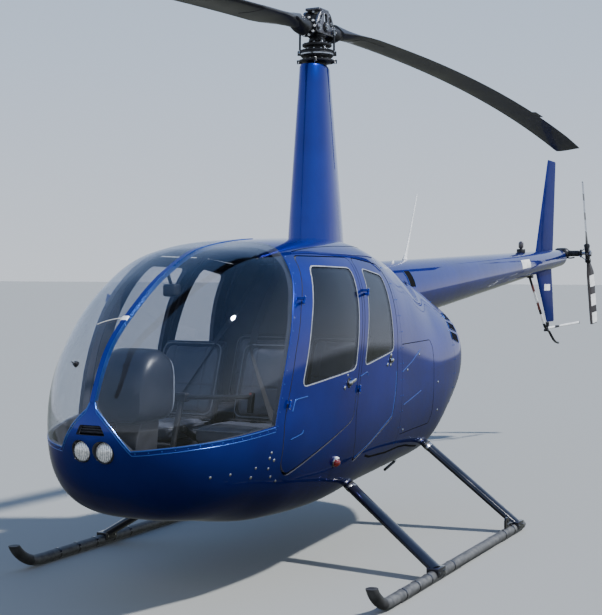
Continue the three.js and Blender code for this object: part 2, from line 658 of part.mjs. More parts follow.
const FAIRING_STATIONS = [
  { z: 1710, front: -276, rear: 418, half: 136 },
  { z: 1980, front: -252, rear: 372, half: 124 },
  { z: 2400, front: -214, rear: 286, half: 101 },
  { z: 2926, front: -160, rear: 175, half: 75 },
];
const TEARDROP = [
  [0, 0], [0.03, 0.42], [0.12, 0.78], [0.26, 0.98], [0.42, 1], [0.62, 0.8], [0.82, 0.44], [1, 0.06],
  [1, -0.06], [0.82, -0.44], [0.62, -0.8], [0.42, -1], [0.26, -0.98], [0.12, -0.78], [0.03, -0.42],
];

function mast() {
  const rings = FAIRING_STATIONS.map(({ z, front, rear, half }) => (
    TEARDROP.map(([along, across]) => [across * half, front + along * (rear - front), z])
  ));
  const bore = turned([
    [0, MAST.bottomZ - 0.6], [MAST.bearingR, MAST.bottomZ - 0.6], [MAST.bearingR, MAST.bearingZ],
    [MAST.clearR, MAST.bearingZ], [MAST.clearR, 3000], [0, 3000],
  ]);
  place('mast_fairing', loft(rings).subtract(HULL_CLEAR).subtract(bore), 'body');
  const foot = FAIRING_STATIONS.at(-1).z + SEAT_GAP;
  const collar = turned([
    [MAST.clearR, foot], [62, foot], [62, foot + 26], [112, foot + 30], [112, foot + 38], [58, foot + 44],
    [58, foot + 52], [MAST.clearR, foot + 52],
  ]);
  place('swashplate_fixed', collar, 'head');
}

function onBlade(fromAft) {
  const turn = THREE.MathUtils.degToRad(-ROTOR.azimuth + (fromAft ? 0 : 180));
  return (u, v, w) => [u * Math.cos(turn) - v * Math.sin(turn), u * Math.sin(turn) + v * Math.cos(turn), w];
}

function rotorHead() {
  const s = MAST.shaftR;
  place('rotor_shaft', rod([0, 0, MAST.bottomZ], [0, 0, 3135], s, 16), 'head');
  const bore = s + SEAT_GAP;
  const plates = turned([
    [bore, 2984], [98, 2984], [104, 2994], [104, 3026], [66, 3032], [66, 3044], [92, 3050], [92, 3066], [60, 3074],
    [bore, 3074],
  ]);
  const at = onBlade(true);
  const links = [1, -1].flatMap((side) => [
    rod(at(side * 70, side * 40, 3010), at(side * 124, side * 68, 3012), 9, 8),
    rod(at(side * 118, side * 66, 3004), at(side * 118, side * 72, 3146), 7, 8),
  ]);
  place('swashplate_rotating', together([plates, ...links]), 'head');
  const tilt = Math.sin(THREE.MathUtils.degToRad(ROTOR.tilt));
  const z = ROTOR.hubZ;
  const side = (u, v0, v1, z0, z1) => loft([
    [[u[0], v0, z0], [u[1], v0, z0], [u[1], v1, z0], [u[0], v1, z0]].map((p) => at(...p)),
    [[u[0], v0, z1], [u[1], v0, z1], [u[1], v1, z1], [u[0], v1, z1]].map((p) => at(...p)),
  ]);
  const top = ROTOR.topZ;
  const parts = [
    turned([[0, 3100], [46, 3100], [58, 3112], [58, 3160], [0, 3160]]).subtract(
      turned([[0, 3000], [bore, 3000], [bore, 3135 + SEAT_GAP], [0, 3135 + SEAT_GAP]]),
    ),
    side([-34, 34], -60, 60, 3140, top - 34),
    side([-62, -40], -118, 118, z - 52, top - 18),
    side([40, 62], -118, 118, z - 52, top - 18),
    side([-50, 50], -70, 70, top - 30, top),
    rod(at(-78, 0, top - 52), at(78, 0, top - 52), 17, 10),
  ];
  for (const v of [-92, 92]) {
    parts.push(rod(at(-76, v, z), at(76, v, z), 19, 8));
    parts.push(side([-40, 40], v - 20, v + 20, z - 30, z + 30));
  }
  place('main_rotor_hub', together(parts), 'head');
  for (const [name, fromAft] of [['main_blade_aft', true], ['main_blade_forward', false]]) {
    place(name, mainBlade(fromAft, fromAft ? tilt : -tilt), 'blade');
  }
}

// Blade section: part of the chord from the leading edge, thickness as part of the chord
const AIRFOIL = [
  [0, 0], [0.04, 0.034], [0.16, 0.062], [0.4, 0.062], [0.7, 0.034], [1, 0.004], [1, -0.004], [0.7, -0.026],
  [0.4, -0.046], [0.16, -0.046], [0.04, -0.028],
];
// Blade stations: radius, chord, thickness times the section's, pitch in degrees, how far the rear lags
const BLADE_STATIONS = [
  [118, 92, 7, 4, 0],
  [230, 104, 6, 4, 0],
  [330, 190, 2.6, 4, 0],
  [520, 254, 1.2, 4, 0],
  [1300, 254, 1, 3, 0],
  [2200, 254, 1, 2, 0],
  [3100, 254, 1, 1, 0],
  [3900, 254, 1, 0, 0],
  [4550, 254, 1, -1, 0],
  [5030, 254, 0.9, -2, -75],
];

function mainBlade(fromAft, tilt) {
  const at = onBlade(fromAft);
  const rings = BLADE_STATIONS.map(([radius, chord, thick, pitch, lag]) => {
    const angle = THREE.MathUtils.degToRad(pitch);
    const fall = ROTOR.droop * (radius / ROTOR.radius) ** 2.2;
    return AIRFOIL.map(([along, up]) => {
      const back = (along - 0.3) * chord;
      const rise = up * ROTOR.chord * Math.min(thick, 3.4);
      const u = back * Math.cos(angle) + rise * Math.sin(angle);
      const lift = rise * Math.cos(angle) - back * Math.sin(angle);
      return at(u, radius + along * lag, ROTOR.hubZ + tilt * radius - fall + lift);
    });
  });
  return loft(rings);
}

// Tail surfaces

// A fin between two levels: z, leading edge y, trailing edge y, half thickness
function fin(levels, turn) {
  const profile = [[0, 0], [0.1, 0.7], [0.35, 1], [1, 0.12], [1, -0.12], [0.35, -1], [0.1, -0.7]];
  const rings = levels.map(({ at, front, rear, half }) => profile.map(([along, across]) => (
    turn(across * half, front + along * (rear - front), at)
  )));
  return loft(rings).subtract(CONE_CLEAR);
}

const upright = (x, y, z) => [x, y, z];
const sideways = (thickness, y, x) => [x, y, STABILIZER_Z + thickness];
const STABILIZER_Z = 1832;
const GUARD = { r: 12, startY: 4674, low: [5286, 1131], end: [190, 5850, 1176] };

function guardRod(radius) {
  return bentRod([
    [0, GUARD.startY, coneZ(GUARD.startY) - coneR(GUARD.startY) + 20], [0, 4990, 1383], [0, 5230, 1165],
    [0, ...GUARD.low], [30, 5400, 1136], GUARD.end,
  ], radius, 20, 8);
}

function tail() {
  const shell = coneSolid(0);
  const inside = loft([
    coneRing(CONE.startY - 10, coneR(CONE.startY) - CONE.wall),
    coneRing(CONE.endY - 100, coneR(CONE.endY - 100) - CONE.wall),
  ]);
  place('tail_cone', shell.subtract(inside), 'body');
  place('upper_fin', fin([
    { at: 1800, front: 4870, rear: 5515, half: 22 },
    { at: 2796, front: 5314, rear: 5608, half: 11 },
  ], upright), 'body');
  const lowerFin = fin([
    { at: 1191, front: 5313, rear: 5591, half: 11 },
    { at: 1800, front: 4820, rear: 5465, half: 21 },
  ], upright);
  place('lower_fin', lowerFin, 'body');
  place('horizontal_stabilizer', fin([
    { at: -1010, front: 5130, rear: 5430, half: 12 },
    { at: -20, front: 5060, rear: 5430, half: 17 },
  ], sideways), 'body');
  const guard = guardRod(GUARD.r);
  place('tail_rotor_guard', guard.subtract(CONE_CLEAR).subtract(lowerFin.translate([0, 0, -0.4])), 'guard');
  const skidBar = bentRod([
    [0, 5290, 1130], [0, 5400, 1110], [0, 5480, 1062], [0, 5600, 1000], [0, 5760, 966],
  ], 8, 14, 8);
  place('tail_skid', skidBar.subtract(guardRod(GUARD.r + SEAT_GAP)), 'strut');
}

function tailRotor() {
  const t = TAIL_ROTOR;
  const gearbox = together([
    rod([0, 5790, 1846], [0, 5965, 1862], 48, 16),
    rod([-62, t.y, t.z - 8], [70, t.y, t.z - 8], 58, 16),
    rod([60, t.y, t.z], [176, t.y, t.z], 30, 16),
  ]);
  const shaftBore = rod([120, t.y, t.z], [180, t.y, t.z], 16.6, 16);
  place('tail_gearbox', gearbox.subtract(CONE_CLEAR).subtract(shaftBore), 'head');
  const lean = THREE.MathUtils.degToRad(t.lean);
  const swing = Math.sin(THREE.MathUtils.degToRad(t.teeter));
  const at = (u, v, x) => [
    t.x + x - v * swing,
    t.y + u * Math.cos(lean) - v * Math.sin(lean),
    t.z + v * Math.cos(lean) + u * Math.sin(lean),
  ];
  const parts = [
    rod([120.6, t.y, t.z], [t.x + 34, t.y, t.z], 16, 16),
    rod([t.x + 22, t.y, t.z], [t.x + 44, t.y, t.z], 30, 12),
    rod([t.x - 78, t.y, t.z], [t.x - 58, t.y, t.z], 42, 16),
    bar([[-34, -22], [34, -22], [34, 22], [-34, 22]], at(0, -96, 0), at(0, 96, 0), [0, 1, 0]),
  ];
  for (const end of [1, -1]) {
    parts.push(rod(at(end * 34, end * 18, -70), at(end * 44, end * 62, -8), 6, 8));
    parts.push(rod(at(end * 20, end * 62, -6), at(end * 52, end * 62, -6), 9, 8));
  }
  place('tail_rotor_hub', together(parts), 'head');
  const pitch = THREE.MathUtils.degToRad(t.pitch);
  for (const [name, end] of [['tail_blade_lower', -1], ['tail_blade_upper', 1]]) {
    const rings = [[97.2, 62, 2], [150, 96, 1.5], [205, t.chord, 1], [700, t.chord, 0.9], [t.radius, 112, 0.8]].map(
      ([radius, chord, thick]) => AIRFOIL.map(([along, up]) => {
        const back = (along - 0.3) * chord;
        const rise = up * t.chord * thick;
        const u = back * Math.cos(pitch) - rise * Math.sin(pitch);
        const x = back * Math.sin(pitch) + rise * Math.cos(pitch);
        return at(-end * u, end * radius, x);
      }),
    );
    place(name, loft(rings), 'blade');
  }
}

// Lights, aerial and the yaw string on the windshield

const NAV_LIGHT = { y: -1040, z: 650, r: 24 };
const BEACON = { y: 4416, r: 30, topZ: 1973 };
const WHIP = { base: [0, 1492], tip: [0, 1730, 2242], r: 5 };
const STRING = { x0: -18, x1: -150, y0: -2096, y1: -2112, r: 2, steps: 16, lift: -0.2 };

function fittings() {
  for (const [name, side, finish] of [['nav_light_left', 1, 'red'], ['nav_light_right', -1, 'green']]) {
    const x = side * (skinX(NAV_LIGHT.y, NAV_LIGHT.z) - 12);
    const dome = new THREE.SphereGeometry(NAV_LIGHT.r, 12, 8).scale(1, 1.5, 1).translate(x, NAV_LIGHT.y, NAV_LIGHT.z);
    place(name, solidOf(dome).subtract(HULL_CLEAR), finish);
  }
  const beacon = together([
    rod([0, BEACON.y, coneZ(BEACON.y)], [0, BEACON.y, BEACON.topZ - 62], BEACON.r + 6, 16),
    rod([0, BEACON.y, BEACON.topZ - 70], [0, BEACON.y, BEACON.topZ], BEACON.r - 6, 16),
  ]);
  place('beacon', beacon.subtract(CONE_CLEAR), 'red');
  const [, y] = WHIP.base;
  const z = coneZ(y) + coneR(y);
  const whip = together([rod([0, y, z - 30], [0, y, z + 22], 20, 12), rod([0, y, z], WHIP.tip, WHIP.r, 8)]);
  place('whip_antenna', whip.subtract(CONE_CLEAR), 'guard');
  const points = Array.from({ length: 9 }, (_, i) => {
    const part = i / 8;
    const x = THREE.MathUtils.lerp(STRING.x0, STRING.x1, part);
    const along = THREE.MathUtils.lerp(STRING.y0, STRING.y1, part);
    return [x, along, skinTop(x, along) + STRING.lift];
  });
  place('yaw_string', bentRod(points, STRING.r, STRING.steps, 8).subtract(hullSolid(-0.3)), 'string');
}

// Height of the shell above a point in plan
function skinTop(x, y) {
  const s = alongHull(y);
  const waist = waistAt(s);
  const full = upperFullAt(s);
  return waist + (topAt(s) - waist) * (1 - (Math.abs(x) / halfWidthAt(s)) ** full) ** (1 / full);
}

cabinShell();
cowls();
engineBay();
cabinInside();
mast();
rotorHead();
tail();
tailRotor();
landingGear();
fittings();

export default machine;
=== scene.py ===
# %% [markdown]
# # A light helicopter on skids
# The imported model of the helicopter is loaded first. It holds every solid at its real place and on its real
# body, in metres, with the nose towards -Y and up along +Z. Everything made below is laid on those solids.
# The tables below are in millimetres from the main rotor's axis, which is how such a machine is drawn, and
# one helper turns them into metres in the shared frame.

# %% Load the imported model
import math

import bmesh
import bpy
import numpy as np
from mathutils import Matrix, Vector


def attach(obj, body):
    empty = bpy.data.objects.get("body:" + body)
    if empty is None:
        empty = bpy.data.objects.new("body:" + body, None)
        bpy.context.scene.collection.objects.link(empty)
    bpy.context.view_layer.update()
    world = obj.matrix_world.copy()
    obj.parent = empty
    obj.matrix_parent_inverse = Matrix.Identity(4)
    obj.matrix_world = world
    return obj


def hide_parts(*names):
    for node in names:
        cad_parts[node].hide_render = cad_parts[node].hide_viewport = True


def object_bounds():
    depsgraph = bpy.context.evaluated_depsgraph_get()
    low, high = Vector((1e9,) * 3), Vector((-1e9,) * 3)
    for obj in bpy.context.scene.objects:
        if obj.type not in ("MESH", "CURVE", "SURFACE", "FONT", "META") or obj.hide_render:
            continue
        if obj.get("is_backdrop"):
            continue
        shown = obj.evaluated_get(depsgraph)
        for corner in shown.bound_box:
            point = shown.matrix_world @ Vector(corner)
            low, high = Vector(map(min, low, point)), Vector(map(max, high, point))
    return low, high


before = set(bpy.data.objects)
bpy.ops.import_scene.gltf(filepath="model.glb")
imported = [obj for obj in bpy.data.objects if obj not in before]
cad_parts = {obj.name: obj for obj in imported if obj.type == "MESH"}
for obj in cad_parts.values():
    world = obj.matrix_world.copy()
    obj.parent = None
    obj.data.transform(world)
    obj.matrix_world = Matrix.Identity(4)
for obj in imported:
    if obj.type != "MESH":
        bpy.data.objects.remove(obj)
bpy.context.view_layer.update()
AXIS_TO_MIDDLE = 537
SIDES = {"left": 1, "right": -1}


def metres(points):
    p = np.asarray(points, float).reshape(-1, 3)
    return (p - [0, AXIS_TO_MIDDLE, 0]) / 1000


def placed(name, data):
    """A new object in the scene for a mesh, a curve, a lamp or a camera."""
    new_object = bpy.data.objects.new(name, data)
    bpy.context.collection.objects.link(new_object)
    return new_object


# %% [markdown]
# ## Where the viewer stands
# The picture is taken from the front left, at eye height, about eight metres from the nose. The camera's
# place and turn were worked out from the skids, the rotor head and the tail rotor, so they are given as
# numbers: a place in metres, three angles and a lens. The view is wide enough for the whole machine but
# cuts the rotor.

# %% Camera
FILM, FOCUS_PIXELS, PICTURE_PIXELS = 36, 1284.85, 615
VIEWER = (3.43598, -7.73681, 1.62774)
HEADING, PITCH, ROLL = -0.45686, -0.02377, 0.00389
camera_data = bpy.data.cameras.new("viewer")
camera_data.sensor_fit, camera_data.sensor_height = "VERTICAL", FILM
camera_data.lens = FILM * FOCUS_PIXELS / PICTURE_PIXELS
camera_data.clip_end = 900
camera = placed("viewer", camera_data)
ahead = Vector((math.cos(PITCH) * math.sin(HEADING), math.cos(PITCH) * math.cos(HEADING), math.sin(PITCH)))
right = ahead.cross(Vector((0, 0, 1))).normalized()
upright_turn = Matrix((right, right.cross(ahead), -ahead)).transposed().to_4x4()
camera.matrix_world = Matrix.Translation(VIEWER) @ upright_turn @ Matrix.Rotation(ROLL, 4, "Z")
bpy.context.scene.camera = camera
print("lens", round(camera_data.lens, 2), "mm")

# %% [markdown]
# ## The yaw string
# A short piece of white yarn is taped to the windshield's strip and blows over the glass. It shows whether
# the machine flies straight. It is the one thing here that hangs free, so it is a curve along the route
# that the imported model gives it, lying on the glass, and its tape comes later with the other small things.

# %% Yaw string
STRING_ROUTE = [
    (-18.0, -2097.0, 1429.8), (-34.6, -2099.0, 1427.8), (-51.1, -2101.0, 1425.3), (-67.6, -2103.0, 1422.3),
    (-84.2, -2105.1, 1418.7), (-100.7, -2107.1, 1414.5), (-117.3, -2109.1, 1409.6), (-133.8, -2111.1, 1404.0),
    (-150.4, -2113.1, 1397.6),
]
STRING_THICK, STRING_LENGTH = 4, 137.6
route = metres(STRING_ROUTE)
string_curve = bpy.data.curves.new("yaw_string_yarn", "CURVE")
string_curve.dimensions = "3D"
string_curve.bevel_depth = STRING_THICK / 2000
string_curve.bevel_resolution = 4
spline = string_curve.splines.new("POLY")
spline.points.add(len(route) - 1)
spline.points.foreach_set("co", np.hstack([route, np.ones((len(route), 1))]).ravel())
yaw_string = placed("yaw_string_yarn", string_curve)
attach(yaw_string, "airframe")
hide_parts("yaw_string")
print("yaw string", STRING_LENGTH, "mm")

# %% [markdown]
# ## Floor and light
# A glossy dark-blue body shows mostly what stands around it. The machine was seen in the open on a bright
# day, so the light is a blue sky that pales towards the horizon and a sun high on the left. The sun stands
# where its mirror image falls in the middle of the windshield, and it draws the crisp shadows. The floor is
# plain and pale, but the paint mirrors a darker ground, so that the belly goes dark as it does outdoors.
# Sky and finishes are trees of nodes, so the first helpers add a node and set or link its inputs in one
# line.

# %% Nodes in one line
def feed(tree, target, inputs):
    """Links an input where another node's output is given, and otherwise sets its value."""
    for key, value in inputs.items():
        socket = target.inputs[key]
        if isinstance(value, bpy.types.NodeSocket):
            tree.links.new(value, socket)
        else:
            socket.default_value = (*value, 1) if socket.type == "RGBA" else value


def node(tree, kind, inputs=None, **settings):
    new_node = tree.nodes.new("ShaderNode" + kind)
    for key, value in settings.items():
        setattr(new_node, key, value)
    feed(tree, new_node, inputs or {})
    return new_node


def tones(tree, factor, stops):
    """Colours along a factor from (position, colour) stops, lowest first."""
    ramp = node(tree, "ValToRGB", {"Fac": factor})
    elements = ramp.color_ramp.elements
    for k, (position, colour) in ((0, stops[0]), (1, stops[-1])):
        elements[k].position, elements[k].color = position, (*colour, 1)
    for position, colour in stops[1:-1]:
        elements.new(position).color = (*colour, 1)
    return ramp.outputs["Color"]


def shaded(name):
    """A new material, its node tree and its shader."""
    material = bpy.data.materials.new(name)
    material.use_nodes = True
    return material, material.node_tree, material.node_tree.nodes["Principled BSDF"]


# %% Floor
FLOOR_REACH = 300
floor_mesh = bpy.data.meshes.new("floor")
corners = [(x * FLOOR_REACH, y * FLOOR_REACH, 0) for x, y in ((-1, -1), (1, -1), (1, 1), (-1, 1))]
floor_mesh.from_pydata(corners, [], [(0, 1, 2, 3)])
floor_paint, tree, shader = shaded("floor_paint")
feed(tree, shader, {"Base Color": (0.30, 0.305, 0.29), "Roughness": 0.8})
floor_mesh.materials.append(floor_paint)
floor = placed("floor", floor_mesh)
floor.visible_glossy = False
floor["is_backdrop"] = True

# %% Sky and lamps
# from straight down at 0 through the horizon at 0.5 to straight up at 1
SKY_TONES = [
    (0, (0.05, 0.055, 0.05)), (0.30, (0.11, 0.12, 0.11)), (0.482, (0.25, 0.27, 0.24)),
    (0.491, (0.80, 0.85, 0.92)), (0.58, (0.62, 0.74, 0.92)), (0.875, (0.16, 0.30, 0.62)),
]
world = bpy.data.worlds.new("open_sky")
bpy.context.scene.world = world
world.use_nodes = True
sky = world.node_tree
sky.nodes.clear()
split = node(sky, "SeparateXYZ", {0: node(sky, "TexCoord").outputs["Generated"]})
height = node(sky, "MapRange", {"Value": split.outputs["Z"], "From Min": -1})
glow = node(sky, "Background", {"Color": tones(sky, height.outputs["Result"], SKY_TONES), "Strength": 1.05})
node(sky, "OutputWorld", {0: glow.outputs[0]})


def light_from(name, kind, energy, place, facing):
    lamp = bpy.data.lights.new(name, kind)
    lamp.energy = energy
    holder = placed(name, lamp)
    holder.location = place
    holder.rotation_euler = (Vector(facing) - Vector(place)).to_track_quat("-Z", "Y").to_euler()
    return holder


SUN_SPOT = Vector((0.45, -2.4, 1.44))
sun = light_from("sun", "SUN", 6.2, SUN_SPOT + 14 * Vector((0.618, 0.163, 0.768)), SUN_SPOT)
sun.data.angle = math.radians(2.6)
fill = light_from("front_fill", "AREA", 500, (2.5, -13.0, 5.0), (0, -1.5, 1.3))
fill.data.shape, fill.data.size = "DISK", 7
fill.visible_glossy = False
print("lights: sun and", round(fill.data.energy), "watts of fill")

# %% [markdown]
# ## Finishes
# Every surface gets a shader whose colour, roughness and relief come from noise, because even new paint has
# a slight flow in it and dust dulls it in places. One helper makes the plain ones from a row of numbers.
# Metallic paint is made by hand: a half-metal base with fine flakes in its slope, under a clear coat.

# %% A finish from a row of numbers
def noise(tree, coords, scale, detail=4, stretch=None):
    if stretch:
        coords = node(tree, "Mapping", {"Vector": coords, "Scale": stretch}).outputs["Vector"]
    return node(tree, "TexNoise", {"Vector": coords, "Scale": scale, "Detail": detail}).outputs["Fac"]


def between(tree, factor, low, high, start=0.3, end=0.7):
    inputs = {"Value": factor, "From Min": start, "From Max": end, "To Min": low, "To Max": high}
    return node(tree, "MapRange", inputs).outputs["Result"]


def relief_of(tree, height, strength, distance, under=None):
    inputs = {"Height": height, "Strength": strength, "Distance": distance}
    if under:
        inputs["Normal"] = under
    return node(tree, "Bump", inputs).outputs["Normal"]


def finish(name, dark, light, rough, metal, spot, grain, relief, depth, coat_weight=0, stretch=None, sheen=0):
    material, tree, shader = shaded(name)
    coords = node(tree, "TexCoord").outputs["Object"]
    patches = noise(tree, coords, spot, 5, stretch)
    grains = noise(tree, coords, grain, 3, stretch)
    feed(tree, shader, {
        "Base Color": tones(tree, patches, [(0.35, dark), (0.65, light)]), "Metallic": metal,
        "Roughness": between(tree, patches, *rough), "Normal": relief_of(tree, grains, relief, depth),
        "Coat Weight": coat_weight, "Coat Roughness": 0.04, "Sheen Weight": sheen,
    })
    return material


# %% The plain finishes
# name: darker tone, lighter tone, roughness from and to, metal, patch size, grain size, relief, its depth,
# and coat
FINISHES = {
    "strut_black": ((0.004, 0.004, 0.008), (0.009, 0.009, 0.016), (0.08, 0.14), 0, 9, 120, 0.03, 0.0003, 0.3),
    "skid_alloy": ((0.10, 0.10, 0.102), (0.18, 0.18, 0.178), (0.45, 0.68), 0.75, 34, 260, 0.35, 0.0008),
    "toe_black": ((0.012, 0.012, 0.013), (0.035, 0.035, 0.036), (0.45, 0.65), 0, 20, 260, 0.2, 0.0006),
    "blade_charcoal": ((0.02, 0.021, 0.024), (0.036, 0.037, 0.041), (0.36, 0.5), 0.1, 3, 190, 0.12,
                       0.0004, 0.2),
    "head_black": ((0.012, 0.012, 0.014), (0.035, 0.035, 0.038), (0.32, 0.55), 0.45, 30, 320, 0.15, 0.0004),
    "hub_grey": ((0.07, 0.07, 0.082), (0.15, 0.15, 0.17), (0.22, 0.38), 0.7, 30, 320, 0.12, 0.0004),
    "bare_steel": ((0.38, 0.38, 0.39), (0.62, 0.62, 0.62), (0.18, 0.34), 1, 60, 500, 0.06, 0.0002),
    "boot_rubber": ((0.010, 0.010, 0.010), (0.022, 0.022, 0.022), (0.6, 0.8), 0, 40, 400, 0.15, 0.0004),
    "trim_dark": ((0.026, 0.027, 0.032), (0.045, 0.046, 0.052), (0.62, 0.8), 0, 12, 240, 0.06, 0.0004),
    "hood_vinyl": ((0.020, 0.021, 0.026), (0.032, 0.033, 0.040), (0.36, 0.44), 0, 6, 240, 0.03, 0.0004),
    "bow_grey": ((0.040, 0.042, 0.055), (0.060, 0.063, 0.080), (0.55, 0.7), 0, 12, 420, 0.2, 0.0004),
    "carpet_dark": ((0.018, 0.018, 0.022), (0.045, 0.045, 0.052), (0.9, 1), 0, 160, 900, 0.9, 0.003),
    "slot_black": ((0.003, 0.003, 0.003), (0.006, 0.006, 0.007), (0.6, 0.8), 0, 20, 200, 0.1, 0.0004),
    "engine_alloy": ((0.10, 0.10, 0.10), (0.22, 0.22, 0.215), (0.45, 0.65), 0.8, 26, 220, 0.5, 0.0012),
    "exhaust_pipe": ((0.12, 0.085, 0.06), (0.30, 0.25, 0.20), (0.35, 0.6), 0.9, 14, 240, 0.2, 0.0006),
    "white_enamel": ((0.66, 0.66, 0.64), (0.80, 0.80, 0.78), (0.25, 0.42), 0, 16, 240, 0.08, 0.0003, 0.3),
    "red_enamel": ((0.22, 0.030, 0.025), (0.36, 0.060, 0.045), (0.3, 0.5), 0, 16, 240, 0.08, 0.0003, 0.2),
    "seal_grey": ((0.20, 0.215, 0.25), (0.32, 0.335, 0.37), (0.3, 0.45), 0, 60, 300, 0.05, 0.0002),
    "yarn_white": ((0.66, 0.64, 0.60), (0.82, 0.80, 0.76), (0.85, 0.95), 0, 200, 1500, 0.8, 0.001),
    "band_black": ((0.012, 0.010, 0.012), (0.030, 0.025, 0.027), (0.3, 0.5), 0, 16, 240, 0.08, 0.0003, 0.3),
    "guard_red": ((0.09, 0.018, 0.016), (0.20, 0.05, 0.04), (0.35, 0.55), 0, 16, 240, 0.08, 0.0003, 0.2),
    "beacon_smoke": ((0.035, 0.03, 0.034), (0.075, 0.062, 0.068), (0.06, 0.14), 0, 16, 240, 0.08, 0.0003, 1),
    "lens_red": ((0.07, 0.004, 0.004), (0.16, 0.010, 0.009), (0.05, 0.12), 0, 30, 260, 0.2, 0.0006, 1),
    "lens_green": ((0.006, 0.20, 0.05), (0.014, 0.34, 0.09), (0.05, 0.12), 0, 30, 260, 0.2, 0.0006, 1),
    "chrome": ((0.72, 0.73, 0.74), (0.88, 0.88, 0.88), (0.05, 0.12), 1, 60, 500, 0.03, 0.0001),
    "scroll_grey": ((0.34, 0.34, 0.33), (0.48, 0.48, 0.46), (0.45, 0.6), 0, 14, 240, 0.1, 0.0004),
    "panel_black": ((0.008, 0.008, 0.009), (0.016, 0.016, 0.018), (0.5, 0.65), 0, 30, 700, 0.25, 0.0003),
}
FINISH = {name: finish(name, *row) for name, row in FINISHES.items()}
FINISH["slot_black"].node_tree.nodes["Principled BSDF"].inputs["Specular IOR Level"].default_value = 0.04
print("plain finishes", len(FINISH))

# %% Metallic blue under a clear coat
# Low on the hull colour darkens and coat thins, a painted shade for the dark ground the belly mirrors;
# both fade in between two levels in metres.
BELLY_SHADE_COLOUR, BELLY_SHADE_LEVELS = (0.002, 0.005, 0.032), (0.35, 0.95)


def metallic_blue(name, dark, light, rough, coat_weight=1.0, glancing=(0.18, 0.26, 0.75)):
    material, tree, shader = shaded(name)
    coords = node(tree, "TexCoord").outputs["Object"]
    level = node(tree, "SeparateXYZ", {0: coords}).outputs["Z"]
    out_of_shade = between(tree, level, 0, 1, *BELLY_SHADE_LEVELS)
    flow = tones(tree, noise(tree, coords, 2.2), [(0.3, dark), (0.7, light)])
    # painted shade: the base colour goes dark towards the bottom of the hull
    base = node(tree, "Mix", {0: out_of_shade, 6: BELLY_SHADE_COLOUR, 7: flow}, data_type="RGBA")
    peel = relief_of(tree, noise(tree, coords, 7, 2), 0.03, 0.0015)
    feed(tree, shader, {
        "Base Color": base.outputs[2], "Metallic": 0.78, "Specular Tint": glancing,
        "Roughness": between(tree, noise(tree, coords, 9, 6), rough, rough + 0.08),
        "Normal": relief_of(tree, noise(tree, coords, 2600, 1), 0.10, 0.0002, peel), "Coat Normal": peel,
        "Coat Weight": between(tree, out_of_shade, 0.4, coat_weight, 0, 1), "Coat Roughness": 0.025,
        "Coat IOR": 1.46,
    })
    return material


FINISH["blue"] = metallic_blue("metallic_blue", (0.0012, 0.013, 0.19), (0.0025, 0.024, 0.29), 0.30)
# The fins' copy is darker, with a thin coat and a darker glancing tint: a painted shade for the dark
# surroundings that the fins mirror.
FINISH["blue_shaded_fin"] = metallic_blue("metallic_blue_shaded_fin", (0.0012, 0.013, 0.15), (0.0022, 0.022, 0.22), 0.30,
                                   coat_weight=0.12, glancing=(0.05, 0.11, 0.42))
# A lighter copy of the paint for raised edges, beads, screw heads and lips: a painted highlight.
FINISH["blue_highlight"] = metallic_blue("metallic_blue_highlight", (0.03, 0.10, 0.42), (0.05, 0.15, 0.52), 0.25)

# %% Tinted panes
# A pane lets light through with a faint grey tint and mirrors more at a glancing angle. Mixing a see-through
# shader with a mirror by the viewing angle does that without noise, and its shadow stays light. The mirror's
# share is the same from both sides of the sheet, because light leaves a thin pane as steeply as it entered.
def pane_glass(name, tint):
    material, tree, _ = shaded(name)
    tree.nodes.clear()
    clear = node(tree, "BsdfTransparent", {"Color": tint})
    mirror = node(tree, "BsdfGlossy", {"Color": (0.9, 0.93, 1.0), "Roughness": 0.015})
    facing = node(tree, "LayerWeight", {"Blend": 0.5}).outputs["Facing"]
    steep = node(tree, "Math", {0: facing, 1: 5}, operation="POWER").outputs[0]
    share = between(tree, steep, 0.035, 0.85, 0, 1)
    mix = node(tree, "MixShader", {0: share, 1: clear.outputs[0], 2: mirror.outputs[0]})
    node(tree, "OutputMaterial", {"Surface": mix.outputs[0]})
    return material


FINISH["windshield"] = pane_glass("tinted_windshield", (0.90, 0.91, 0.93))
FINISH["door_pane"] = pane_glass("tinted_door_pane", (0.78, 0.79, 0.83))
print("finishes", len(FINISH))

# %% [markdown]
# ## Outlines and solids
# Panels on a real fuselage are cut along lines that the drawing office draws in side view, from the front
# or in plan. So the tools needed are few: an outline whose corners can be rounded, the same outline a
# little larger or smaller, a straight prism through it, a loft through rings, a bar between two points and
# a profile turned about an axis. Pieces are cut from each other with a Boolean modifier, which here is
# exact and quick because every solid is closed. A solid that is made under a finish's name gets that finish
# and goes on the tray, and what lies on the tray is joined into one assembly. Under any other name it is a
# tool or is finished by hand.

# %% Outlines
def rounded(points, reach, steps=6):
    result = []
    count = len(points)
    for i in range(count):
        here = np.array(points[i], float)
        start, end = (np.array(points[k], float) - here for k in (i - 1, (i + 1) % count))
        most = min(reach, np.linalg.norm(start) / 2.2, np.linalg.norm(end) / 2.2)
        start, end = (here + arm / np.linalg.norm(arm) * most for arm in (start, end))
        for t in np.linspace(0, 1, steps + 1):
            result.append(tuple((1 - t) ** 2 * start + 2 * t * (1 - t) * here + t * t * end))
    return result


def oblong(half_u, half_v, reach=0, steps=2):
    corners = [(-half_u, -half_v), (half_u, -half_v), (half_u, half_v), (-half_u, half_v)]
    return rounded(corners, reach, steps) if reach else corners


